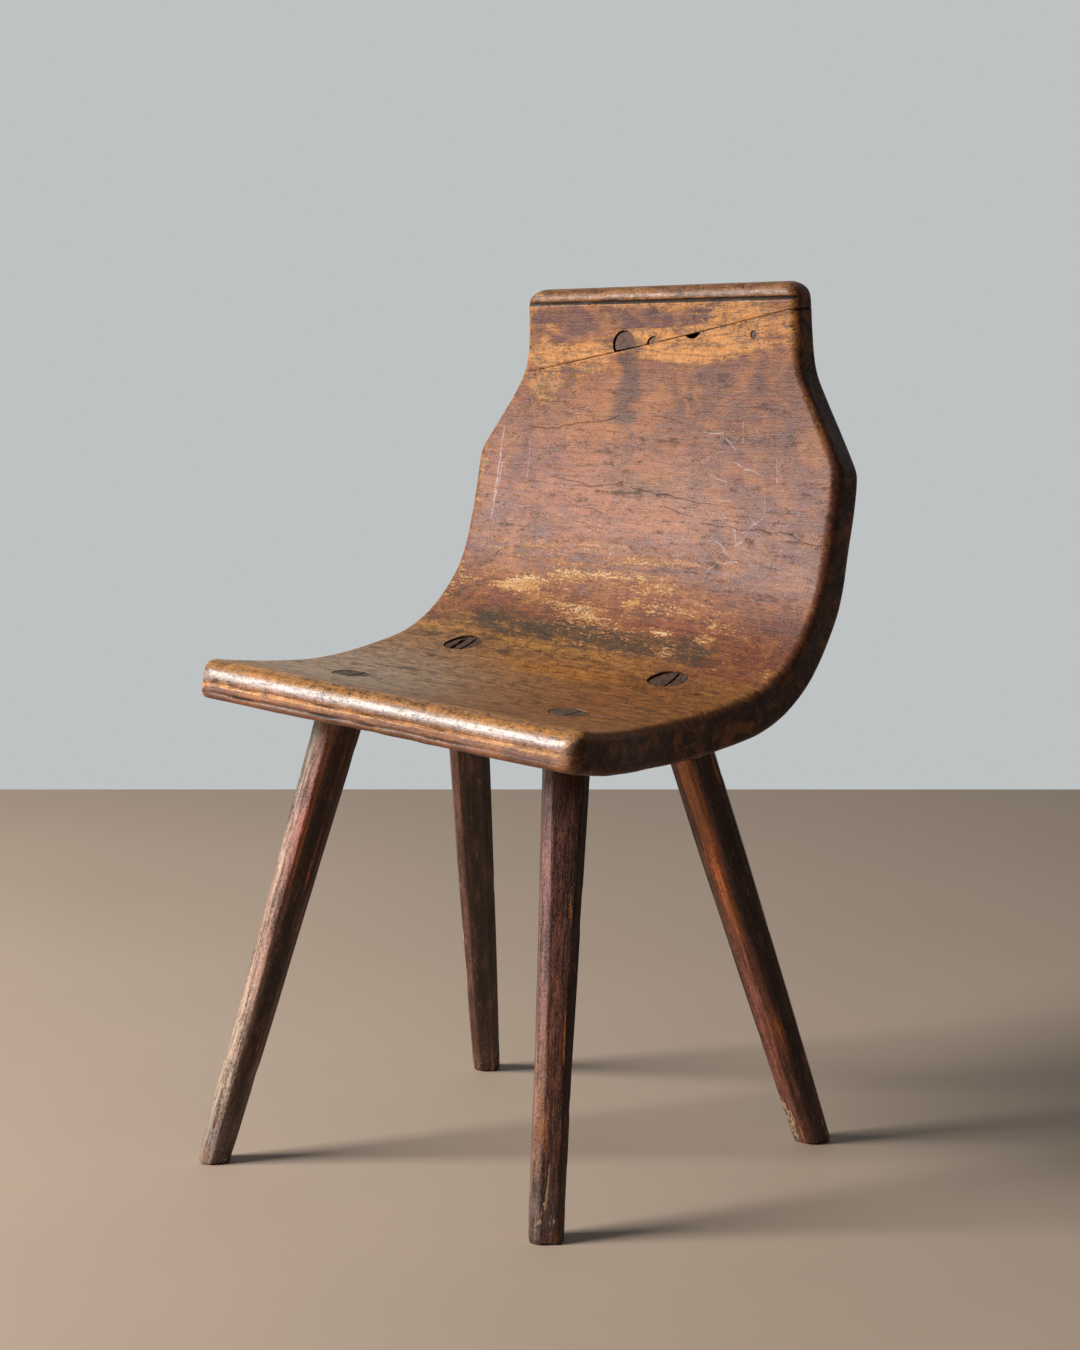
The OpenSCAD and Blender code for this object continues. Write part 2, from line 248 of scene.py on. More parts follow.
def upper_n(s):
    """The sitter's side: level 0, rounded off at the front and the top by the nose radius."""
    return -corner_loss(s, NOSE_R) - corner_loss(BOARD_LEN - s, NOSE_R)


def lower_n(s):
    """The underside: the thickness below, rounded up at the front and the top."""
    return corner_loss(s, UNDER_R) + corner_loss(BOARD_LEN - s, NOSE_R) - thickness(s)


# The chair stands centred over its outline, so the whole board is moved along Y to its CAD box
FRONT_FACE = np.linspace(-NOSE_R, UNDER_R - THICK[0], 9)
RAW_FRONT_Y = board_point(0.0, np.array([0.0]), FRONT_FACE)[:, 1].min()
SHIFT = np.array([0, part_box("seat_back_board")[0].y - RAW_FRONT_Y, 0])

# ---- Making meshes ----


def tube_faces(rows, cols):
    """Quads of a tube of closed rings, as an array of vertex numbers."""
    i, j = np.meshgrid(np.arange(rows - 1), np.arange(cols), indexing="ij")
    k = (j + 1) % cols
    corners = [i * cols + j, i * cols + k, (i + 1) * cols + k, (i + 1) * cols + j]
    return np.stack(corners, -1).reshape(-1, 4)


def new_piece(name, points, faces):
    """Puts points and faces into a mesh, welds its closed ends and turns its faces outwards."""
    mesh = bpy.data.meshes.new(name)
    mesh.from_pydata(points.reshape(-1, 3).tolist(), [], faces.tolist())
    edit = bmesh.new()
    edit.from_mesh(mesh)
    bmesh.ops.remove_doubles(edit, verts=edit.verts, dist=0.002 * MM)
    bmesh.ops.recalc_face_normals(edit, faces=edit.faces)
    edit.to_mesh(mesh)
    edit.free()
    piece = bpy.data.objects.new(name, mesh)
    bpy.context.scene.collection.objects.link(piece)
    return piece


def cylinder(name, base, axis, radius, length, step=2 * MM, sides=96):
    """A closed cylinder of rings from base along axis, its two ends drawn in to a point."""
    axis = np.asarray(axis) / np.linalg.norm(axis)
    u, v = square_pair(axis)
    heights = np.linspace(0, length, max(2, int(length / step)))
    heights = np.concatenate([[0], heights, [length]])
    radii = np.full(len(heights), radius)
    radii[[0, -1]] = 0
    turn = np.linspace(0, 2 * math.pi, sides, endpoint=False)
    ring = np.cos(turn)[:, None] * u + np.sin(turn)[:, None] * v
    points = np.asarray(base) + heights[:, None, None] * axis + radii[:, None, None] * ring
    return new_piece(name, points, tube_faces(len(heights), sides))


def square_pair(axis):
    """Two unit vectors square to axis and to each other."""
    side = np.cross(axis, [0.0, 1.0, 0.0])
    side /= np.linalg.norm(side)
    return side, np.cross(axis, side)


def cut(piece, cutters, operation="DIFFERENCE"):
    """Cuts each cutter out of the piece, or keeps what they share, and deletes the cutters."""
    for cutter in cutters:
        change = piece.modifiers.new("cut", "BOOLEAN")
        change.operation = operation
        change.solver = "MANIFOLD"
        change.object = cutter
        solved = piece.evaluated_get(bpy.context.evaluated_depsgraph_get())
        done = bpy.data.meshes.new_from_object(solved)
        piece.modifiers.clear()
        old = piece.data
        done.name = old.name
        piece.data = done
        bpy.data.meshes.remove(old)
        bpy.data.objects.remove(cutter)
    return piece


def vertices(piece):
    """The piece's points, one row each."""
    co = np.empty(len(piece.data.vertices) * 3, np.float32)
    piece.data.vertices.foreach_get("co", co)
    return co.reshape(-1, 3).astype(float)


def move_to(piece, points):
    """Puts the piece's points at new places, one row each."""
    piece.data.vertices.foreach_set("co", points.astype(np.float32).ravel())
    piece.data.update()


def store(piece, name, values):
    """Keeps three numbers for each vertex under a name that the materials read."""
    held = piece.data.attributes.new(name, "FLOAT_VECTOR", "POINT")
    held.data.foreach_set("vector", np.stack(values, -1).astype(np.float32).ravel())


def finish_piece(piece, material, slot, *nodes):
    """Smooths a piece between its sharp edges, gives it its material and rides it on the chair."""
    piece.data.shade_smooth()
    piece.data.set_sharp_from_angle(angle=38 * DEG)
    piece.data.materials.clear()
    piece.data.materials.append(material)
    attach(piece, "root")
    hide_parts(*nodes)
    return piece


# ---- The board's two pieces as tubes of rounded cross-sections ----

FLAT_COLS = 116
SIDE_COLS = 8
CORNER_COLS = 9
BOARD_ROWS = 252
TOP_ROWS = 32
GROOVE_ROWS = 18
NOSE_ROWS = 14
# Shares of the way in at which the rings that close an end lie
SEAM_CAP = [0.35, 0.7, 1]
TOP_CAP = [0.2, 0.4, 0.6, 0.8, 1]
FRONT_CAP_ROWS = 17


def ring_pattern():
    """Round one cross-section from the right: a corner turn, the flat, a corner turn and the side.

    A point is at across * (w - r) + out * r and at up * (half - r) + over * r. The second half of
    the way round is the first with its signs changed.
    """
    corner = np.linspace(0, 90, CORNER_COLS, endpoint=False) * DEG
    flat = np.linspace(1, -1, FLAT_COLS, endpoint=False)
    side = np.linspace(-1, 1, SIDE_COLS, endpoint=False)
    # For each stretch: across, out, up, over
    stretches = [(1, np.cos(corner), 1, np.sin(corner)),
                 (flat, 0, 1, 1),
                 (-1, -np.sin(corner), 1, np.cos(corner)),
                 (-1, -1, -side, 0)]
    first = np.hstack([np.array(np.broadcast_arrays(*parts), float) for parts in stretches])
    return np.hstack([first, -first])


def hewn(x, s, n):
    """How far the hand tools left the surface off true: soft waves, stronger underneath."""
    below = rise(-n, 0.35 * thickness(s), 0.75 * thickness(s))
    seen = 0.28 * mottle(x, s, 70 * MM, 48 * MM, 3) + 0.12 * mottle(x, s, 21 * MM, 13 * MM, 4)
    adzed = 0.7 * mottle(x, s, 42 * MM, 34 * MM, 5) + 0.25 * mottle(x, s, 15 * MM, 15 * MM, 6)
    return (seen * (1 - below) + adzed * below) * MM


def groove_across(s, x, middle, half, depth, seed):
    """Depth of a worn groove that runs across the board at s = middle."""
    wander = 0.35 * MM * mottle(x, 0 * x, 55 * MM, 1, seed)
    kept = 0.72 + 0.28 * mottle(x, 0 * x, 17 * MM, 1, seed + 1)
    return depth * kept * bell(s - middle - wander, half)


def board_rings(stations, slants, cap_front, cap_back):
    """Rings of one piece of the board, each drawn from its stations and their slants.

    A slanted ring follows the seam's slope: s = station + slant * x. The seam's arris is a
    small rounding. Each end is closed by rings that shrink to the middle line of its face.
    """
    across, out, up, over = ring_pattern()
    s = stations[:, None] + 0 * across
    # A slanted ring's width depends on where its ends come, so the two are settled in a few rounds
    for _ in range(5):
        w = half_width(s)
        s = stations[:, None] + slants[:, None] * SEAM_SLOPE * across * w
    off_seam = np.abs(s - SEAM_S - SEAM_SLOPE * across * w) - SEAM_GAP / 2
    round_off = corner_loss(off_seam, SEAM_ARRIS_R)
    top = upper_n(s) - round_off
    low = lower_n(s) + round_off
    half = (top - low) / 2
    worn = 1 + 0.16 * mottle(s, across, 45 * MM, 3, 11)
    r = np.minimum(np.where(up >= 0, ARRIS_R * worn, LOW_ARRIS_R * worn), half - 0.5 * MM)
    x = across * (w - r) + out * r - 0.3 * out * round_off
    n = top - half + up * (half - r) + over * r
    centre_x = across * (w - ARRIS_R)
    centre_n = top - half + 0 * across
    return [capped(rows, middle, cap_front, cap_back)
            for rows, middle in ((x, centre_x), (s, s), (n, centre_n))]


def capped(rows, middle, cap_front, cap_back):
    """Rings with their closed ends: each end's own ring, drawn the given shares towards its middle."""
    front = [rows[0] + t * (middle[0] - rows[0]) for t in cap_front]
    back = [rows[-1] + t * (middle[-1] - rows[-1]) for t in cap_back]
    return np.array(front[::-1] + list(rows) + back)


# Chips out of the right arris: place along the board, reach and depth, in millimetres
EDGE_CHIPS = [(483, 7, 2.2), (497, 5, 1.4), (470, 4, 1.2), (296, 6, 1.3), (452, 3, 1.0)]


def roundness(r, n):
    """How far a quarter round of radius r at the sitter's side stands back from square at level n."""
    return r - np.sqrt(np.clip(r ** 2 - np.clip(r + n, 0, r) ** 2, 0, 1))


def carve(x, s, n):
    """Grooves, the hewn surface and knocks, as one new x, s, n for every point."""
    w = half_width(np.clip(s, 0, BOARD_LEN))
    top_side = 1 - rise(-n, 4 * MM, 9 * MM)
    lift = hewn(x, s, n) * np.sign(n + thickness(s) / 2)
    off_middle = np.abs(n + thickness(s) / 2) > 0.3 * thickness(s)
    lift = np.where(off_middle, lift, 0)
    bead = groove_across(s, x, TOP_GROOVE_S, 1.5 * MM, 1.7 * MM, 21) * top_side
    n = n + lift - bead
    # The front's upper edge is worn to a fat bead, with two old grooves under it
    corner = rise(w - np.abs(x), 0, 12 * MM)
    front = rise(12 * MM - s, 0, 10 * MM) * corner
    wear = roundness(BEAD_R, n) - roundness(NOSE_R, n)
    wear = wear * rise(34 * MM - s, 0, 20 * MM) * (0.35 + 0.65 * corner)
    belly = 0.9 * MM * rise(-n, BEAD_R, 22 * MM) * (1 - rise(-n, 22 * MM, 23 * MM))
    worn_line = groove_across(-n, x, 21.5 * MM, 1.2 * MM, 1.0 * MM, 31)
    deep_line = groove_across(-n, x, 30 * MM, 1.5 * MM, 1.3 * MM, 41)
    kept = 1 - 0.8 * rise(x, 40 * MM, 170 * MM)
    s = s + wear + front * (belly + kept * (worn_line + deep_line))
    side = rise(np.abs(x), w - 8 * MM, w - 2 * MM) * rise(s, 14 * MM, 30 * MM)
    x = x - np.sign(x) * side * MM * (0.35 + 0.35 * mottle(s, n, 38 * MM, 19 * MM, 8))
    for at, reach, depth in EDGE_CHIPS:
        chip = bell(s - at * MM, reach * MM) * rise(x, w - 9 * MM, w - 2 * MM)
        x = x - chip * depth * MM * (1 - rise(-n, 5 * MM, 12 * MM))
    return x, s, n


def board_piece(name, stations, slants, cap_front, cap_back):
    """One piece of the board: its rings, carved and laid along the three arcs."""
    x, s, n = carve(*board_rings(stations, slants, cap_front, cap_back))
    return new_piece(name, board_point(x, s, n) + SHIFT, tube_faces(*x.shape))


def nose_steps():
    """Stations that round an end: evenly turned through a quarter circle."""
    return NOSE_R * (1 - np.cos(np.linspace(0, 90, NOSE_ROWS, endpoint=False) * DEG))


def seam_steps():
    """Distances from the seam, close together at its arris."""
    return np.array([0, 0.12, 0.35, 0.7, 1.2, 2.2, 3.6]) * MM + SEAM_GAP / 2


def make_lower_board():
    """Rings from the front's round to the seam, turning to the seam's slope up the back."""
    run = np.linspace(NOSE_R, SEAM_S - 6 * MM, BOARD_ROWS)
    stations = np.concatenate([nose_steps(), run, SEAM_S - seam_steps()[::-1]])
    slants = rise(stations, BEND_END, SEAM_S - 20 * MM)
    face = np.linspace(1, 0, FRONT_CAP_ROWS, endpoint=False)[::-1]
    return board_piece("seat_and_back_board", stations, slants, face, SEAM_CAP)


def make_top_board():
    """Rings from the seam, turning level, to the top's round, close together at the bead's groove."""
    groove_rows = np.linspace(TOP_GROOVE_S - 5 * MM, BOARD_LEN - NOSE_R, GROOVE_ROWS)
    run = np.linspace(SEAM_S + 6 * MM, groove_rows[0], TOP_ROWS, endpoint=False)
    top_round = BOARD_LEN - np.append(nose_steps(), NOSE_R)[::-1]
    stations = np.concatenate([SEAM_S + seam_steps(), run, groove_rows[:-1], top_round])
    slants = np.clip((BOARD_LEN - stations) / (BOARD_LEN - SEAM_S), 0, 1)
    return board_piece("top_of_back", stations, slants, SEAM_CAP, TOP_CAP)


SEAM_LEAN = LEAN_START + (SEAM_S - BEND_END) / BACK_R
UP_BACK = np.array([0, math.cos(SEAM_LEAN), math.sin(SEAM_LEAN)])
OUT_OF_BACK = np.array([0, -math.sin(SEAM_LEAN), math.cos(SEAM_LEAN)])


def at_seam(x, above):
    """A point of the back's surface, given by x and its height over the seam."""
    base = board_point(np.array([0.0]), np.array([SEAM_S]), np.array([0.0]))[0] + SHIFT
    return base + np.array([x, 0, 0]) + UP_BACK * (x * SEAM_SLOPE + above)


def old_hole(x, above, radius, depth):
    """A round hole square to the back beside the seam, given in millimetres."""
    bottom = at_seam(x * MM, above * MM) - OUT_OF_BACK * depth * MM
    return cylinder("hole", bottom, OUT_OF_BACK, radius * MM, (depth + 12) * MM, 1 * MM)


# ---- Legs ----


def leg_frame(i):
    """Foot, head, and the leg's own axes: x turned to its broad face, z from foot to head."""
    foot = np.array([FEET[i, 0], FEET[i, 1], 0]) + SHIFT
    head = board_point(HEADS[i, :1], HEADS[i, 1:], np.zeros(1))[0] + SHIFT
    axis = (head - foot) / np.linalg.norm(head - foot)
    return foot, head, [turned(LEG_FACES[i], axis), turned(LEG_FACES[i] + math.pi / 2, axis), axis]


def turned(face, axis):
    """The direction square to a leg's axis whose level twin looks along azimuth face."""
    az = math.atan2(axis[1], axis[0])
    tilt = math.acos(axis[2])
    u, v = math.cos(face - az), math.sin(face - az)
    return np.array([u * math.cos(tilt) * math.cos(az) - v * math.sin(az),
                     u * math.cos(tilt) * math.sin(az) + v * math.cos(az),
                     -u * math.sin(tilt)])


def leg_radius(i, turn, height, body_len):
    """An octagon's radius by direction: a soft least of the distances to its eight faces."""
    broad = np.interp(height / body_len, np.arange(4) / 3, GIRTHS[i] / 2)
    chamfer = (2 * broad - LEG_CHAMFER) / math.sqrt(2)
    sharp = 84 - 54 * rise(0.35 - height / body_len, 0, 0.35)
    total = 0
    for k in range(8):
        wave = 0.45 * MM * mottle(height, 0 * height + k, 85 * MM, 1, 50 + 9 * i + k)
        reach = (broad if k % 2 == 0 else chamfer) + wave
        total = total + (np.clip(np.cos(turn - k * math.pi / 4), 0, 1) / reach) ** sharp
    return total ** (-1 / sharp)


def lengthened(points, i):
    """Places about a leg's axis drawn out along the board, as the rear mortises are oval."""
    _, head, axes = leg_frame(i)
    along = np.array([0, 1.0, 0]) - axes[2] * axes[2][1]
    along = along / np.linalg.norm(along)
    return points + (OVALS[i] - 1) * ((points - head) @ along)[..., None] * along


def level_on_board(foot, axes, offset, n_wanted, low, high):
    """Height up the leg at which a line beside its axis meets the level n_wanted of the board.

    The height is found by halving the stretch between low and high again and again.
    """
    low = np.full(len(offset), low)
    high = np.full(len(offset), high)
    for _ in range(22):
        mid = (low + high) / 2
        _, s, n = board_place(foot + offset + mid[:, None] * axes[2] - SHIFT)
        above = n > n_wanted(s)
        high = np.where(above, mid, high)
        low = np.where(above, low, mid)
    return (low + high) / 2


def just_under(s):
    """The level of the board's underside, less a hair."""
    return lower_n(s) - UNDERSIDE_PLAY


LEG_COLS = 112
BODY_ROWS = 205
TENON_ROWS = 16
SOLE_SHARES = (0, 0.4, 0.75, 0.94)


def make_leg(i):
    """Octagon rings from the floor to the board's underside, a round tenon, and its rough round end.

    Every ring is at foot + height * axis + radius * spoke, with a height for each spoke of its own.
    """
    foot, head, axes = leg_frame(i)
    full = np.linalg.norm(head - foot)
    body_len = full - thickness(HEADS[i, 1]) / 2
    turn = np.linspace(0, 2 * math.pi, LEG_COLS, endpoint=False)
    spoke = np.cos(turn)[:, None] * axes[0] + np.sin(turn)[:, None] * axes[1]
    end_r = leg_radius(i, turn, np.full(LEG_COLS, body_len), body_len)
    well_below, beyond = full - 120 * MM, full + 30 * MM
    top = level_on_board(foot, axes, end_r[:, None] * spoke, just_under, well_below, full)
    rows = []
    shares = np.concatenate([[0, 0.0012, 0.0030, 0.0055, 0.009], np.linspace(0.014, 1, BODY_ROWS)])
    for share in shares:
        dent = np.clip(mottle(turn, top * share, 0.5, 26 * MM, 90 + i) - 0.55, 0, 1)
        radius = leg_radius(i, turn, top * share, body_len) - 1.6 * MM * dent
        radius = radius - 0.5 * corner_loss(top * share, 5 * MM) * (1 + 0.5 * np.sin(3 * turn + i))
        bottom = -radius * spoke[:, 2] / axes[2][2]
        height = bottom + (top - bottom) * share
        rows.append(foot + height[:, None] * axes[2] + radius[:, None] * spoke)
    sole = rows[0]
    sole_middle = sole.mean(0)
    sole_rows = [sole_middle + (sole - sole_middle) * t for t in SOLE_SHARES]
    for row in [sole] + sole_rows:
        row[:, 2] = 0
    tenon = lengthened(head + (TENON_R - TENON_PLAY) * spoke, i) - head
    low_end = level_on_board(foot, axes, tenon, just_under, well_below, full)
    high_end = level_on_board(foot, axes, tenon, lambda s: -TENON_SINK[i] + 0 * s, full - 60 * MM, beyond)
    for share in np.linspace(0, 1, TENON_ROWS):
        rows.append(foot + (low_end + (high_end - low_end) * share)[:, None] * axes[2] + tenon)
    rim = rows[-1]
    middle = rim.mean(0)
    for share in np.linspace(0.96, 0, TENON_ROWS):
        rough = END_ROUGH[i] * mottle(turn * 3, 0 * turn + share, 0.8, 0.13, 70 + i) * share
        rows.append(middle + (rim - middle) * share + rough[:, None] * axes[2])
    points = np.array(sole_rows + rows)
    return new_piece(LEG_NAMES[i] + "_octagonal_leg", points, tube_faces(len(points), LEG_COLS))


def wedge_place(i):
    """Middle of the wedge's head, the direction across its thickness, along its width, and the axis."""
    _, head, (_, _, axis) = leg_frame(i)
    across = turned(WEDGE_ANGLE - math.pi / 2, axis)
    return head + across * WEDGE_OFFSET, across, np.cross(axis, across), axis


def wedge_bar(name, i, head_t, tip_t, offset, over, length=50 * MM):
    """A bar of wedge section: thick at the head, thin at the tip, long enough to cross the tenon."""
    middle, across, along, axis = wedge_place(i)
    sides = np.array([-tip_t, tip_t, head_t, -head_t])[:, None] / 2
    levels = np.array([-WEDGE_DEPTH, -WEDGE_DEPTH, over, over])[:, None]
    steps = np.linspace(-length / 2, length / 2, 30)[:, None, None]
    points = middle + across * offset + sides * across + levels * axis + steps * along
    ends = [np.repeat(points[k].mean(0)[None], 4, 0) for k in (0, -1)]
    points = np.concatenate([ends[:1], points, ends[1:]])
    return new_piece(name, points, tube_faces(*points.shape[:2]))


# ---- Where paint, wear and dirt lie: soft patches in millimetres across and along the board ----

# How much paint is left at these places along the board
PAINT_AT = [0, 200, 268, 300, 335, 400, 540, 585, 606, 630, 659]
PAINT_LEFT = [0.0, 0.04, 0.12, 0.42, 0.70, 0.78, 0.80, 0.68, 0.48, 0.42, 0.34]
# Patches: centre x, centre s, half width, half height, strength
BARE_PATCHES = [(-138, 562, 20, 18, 0.6), (-80, 586, 26, 14, 0.6), (38, 598, 44, 14, 0.6),
                (88, 603, 30, 10, 0.5), (-130, 598, 24, 18, 0.45), (-18, 612, 22, 7, 0.5),
                (92, 632, 40, 10, 0.45), (-207, 468, 5, 34, 0.6), (-30, 409, 80, 4, 0.4),
                (-122, 402, 34, 3, 0.35), (10, 545, 40, 5, 0.2), (-150, 532, 30, 5, 0.2),
                (60, 616, 30, 5, 0.4), (-60, 505, 60, 3, 0.2), (20, 372, 90, 5, 0.3),
                (-60, 388, 90, 5, 0.35), (40, 398, 70, 3, 0.35), (-90, 345, 60, 6, 0.3),
                (-150, 640, 8, 12, 0.5), (-30, 641, 60, 3, 0.35), (-125, 430, 40, 4, 0.2)]
PAINT_PATCHES = [(-95, 634, 60, 5, 0.8), (-84, 621, 20, 4, 0.7), (2, 628, 46, 7, 0.8),
                 (-147, 615, 9, 20, 0.45), (70, 634, 24, 4, 0.35), (150, 300, 62, 28, 0.35),
                 (150, 560, 14, 30, 0.3), (100, 575, 60, 16, 0.25), (-110, 612, 30, 6, 0.3),
                 (130, 250, 60, 10, 0.2)]
FLAKES = [(-126, 355, 24, 9, 0.68), (-150, 351, 12, 5, 0.5), (-170, 395, 13, 3, 0.35),
          (15, 396, 46, 3, 0.40), (-15, 380, 62, 5, 0.42), (-76, 375, 24, 4, 0.40),
          (30, 369, 30, 5, 0.34), (-206, 372, 5, 8, 0.4), (-190, 356, 16, 6, 0.36),
          (-75, 340, 16, 5, 0.36), (-36, 338, 24, 7, 0.42), (17, 357, 8, 5, 0.44),
          (-95, 366, 30, 5, 0.34), (125, 340, 17, 6, 0.38), (155, 335, 9, 4, 0.36),
          (-25, 326, 34, 6, 0.40), (65, 324, 10, 4, 0.5), (115, 325, 12, 5, 0.46),
          (203, 293, 5, 9, 0.55), (150, 290, 7, 5, 0.34), (-205, 335, 7, 16, 0.34),
          (84, 298, 14, 7, 0.36), (10, 293, 56, 4, 0.30), (60, 352, 50, 8, 0.28),
          (-20, 366, 175, 36, 0.19), (30, 312, 110, 12, 0.22), (-100, 402, 60, 4, 0.2)]
GRIME = [(-10, 313, 80, 10, 0.50), (-128, 312, 20, 10, 0.36), (-90, 306, 70, 9, 0.34),
         (-110, 294, 62, 4, 0.32), (30, 301, 70, 12, 0.36), (105, 306, 50, 14, 0.26),
         (-180, 268, 20, 9, 0.3), (-80, 164, 34, 6, 0.22), (-130, 157, 40, 4, 0.22),
         (0, 345, 50, 6, 0.16), (118, 380, 14, 7, 0.2), (140, 436, 10, 5, 0.25),
         (-124, 258, 34, 20, 0.16), (118, 256, 34, 22, 0.16), (60, 180, 150, 50, 0.08),
         (-195, 330, 20, 20, 0.2)]
STAINS = [(-30, 588, 15, 26, 0.62), (-31, 560, 12, 24, 0.5), (-36, 536, 11, 10, 0.5),
          (-58, 531, 22, 5, 0.42), (100, 572, 58, 18, 0.22), (40, 527, 22, 6, 0.24),
          (-5, 46, 14, 4, 0.6), (-14, 71, 6, 3, 0.5), (-115, 55, 6, 5, 0.4), (-190, 100, 5, 4, 0.5),
          (20, 120, 18, 2, 0.35), (-30, 180, 20, 7, 0.25), (-120, 98, 24, 12, 0.35),
          (122, 112, 24, 10, 0.3),
          (30, 470, 70, 5, 0.14), (140, 520, 30, 20, 0.12)]
# The same with a colour: what the bare wood and the paint look like there. The two pale grey wood zones on
# the seat's front left are partly the wood's own grey, partly a painted sheen.
WOOD_ZONES_AND_SHEEN = [("#8f6238", 0, 200, 230, 120, 1.0), ("#a0876c", -155, 110, 130, 100, 0.9),
              ("#a88f74", -100, 60, 110, 45, 0.5), ("#ac7032", 25, 232, 90, 22, 0.85),
              ("#8a5428", 150, 170, 90, 90, 0.75), ("#a8753a", 0, 6, 230, 12, 0.9),
              ("#b07c40", -190, 16, 45, 22, 0.8), ("#a87a3c", -80, 281, 120, 7, 0.6),
              ("#b67a3e", 0, 600, 190, 50, 1.0), ("#ad6c36", 0, 400, 190, 60, 0.8)]
COAT_ZONES = [("#7d483a", 0, 470, 230, 120, 1.0), ("#6f4140", -140, 470, 80, 60, 0.85),
              ("#a06a54", 20, 455, 90, 40, 0.7), ("#a4652f", -70, 524, 66, 22, 0.75),
              ("#a4672f", 5, 552, 36, 20, 0.65), ("#9a5a3a", -60, 430, 90, 26, 0.5),
              ("#553632", 62, 562, 40, 24, 0.6), ("#64392f", 100, 555, 90, 44, 0.85),
              ("#6f3a28", 120, 330, 110, 60, 0.85), ("#6a3424", -20, 378, 220, 32, 0.85),
              ("#522d31", -20, 628, 190, 16, 0.95), ("#6f423f", 165, 440, 60, 60, 0.8),
              ("#5f402c", -100, 300, 120, 24, 0.7)]
# The front edge from the seat down to the underside, and the bead along the top. The pale bands 11 to 16 mm
# down are whitened as a painted highlight on the front bead.
FRONT_BANDS_AND_HIGHLIGHT = [(0, "#a06a30"), (8, "#a5723c"), (11, "#a5836c"), (16, "#a08a84"), (20, "#966a4e"),
               (23, "#c98a4a"), (27, "#c38246"), (29.5, "#5f3d22"), (32, "#ba8444"), (35, "#7a522c")]


def spread(x, s, spots):
    """Sum of soft ellipses, each its strength over one plus the fourth power of the way to its rim."""
    field = np.zeros_like(x)
    for cx, cs, rx, rs, strength in spots:
        d2 = ((x / MM - cx) / rx) ** 2 + ((s / MM - cs) / rs) ** 2
        field = field + strength / (1 + d2 * d2)
    return field


def washes(x, s, base, zones):
    """A colour for every point: each zone in turn washes over what is under it."""
    colour = np.tile(linear(base), (len(x), 1))
    for code, cx, cs, rx, rs, strength in zones:
        amount = spread(x, s, [(cx, cs, rx, rs, strength)])[:, None]
        colour = colour + (linear(code) - colour) * np.clip(amount, 0, 1)
    return colour


def banded(depth, bands):
    """A colour for every depth in millimetres, blended between the bands' own."""
    at = [band[0] for band in bands]
    tones = np.array([linear(band[1]) for band in bands])
    return np.stack([np.interp(depth, at, tones[:, k]) for k in range(3)], axis=1)


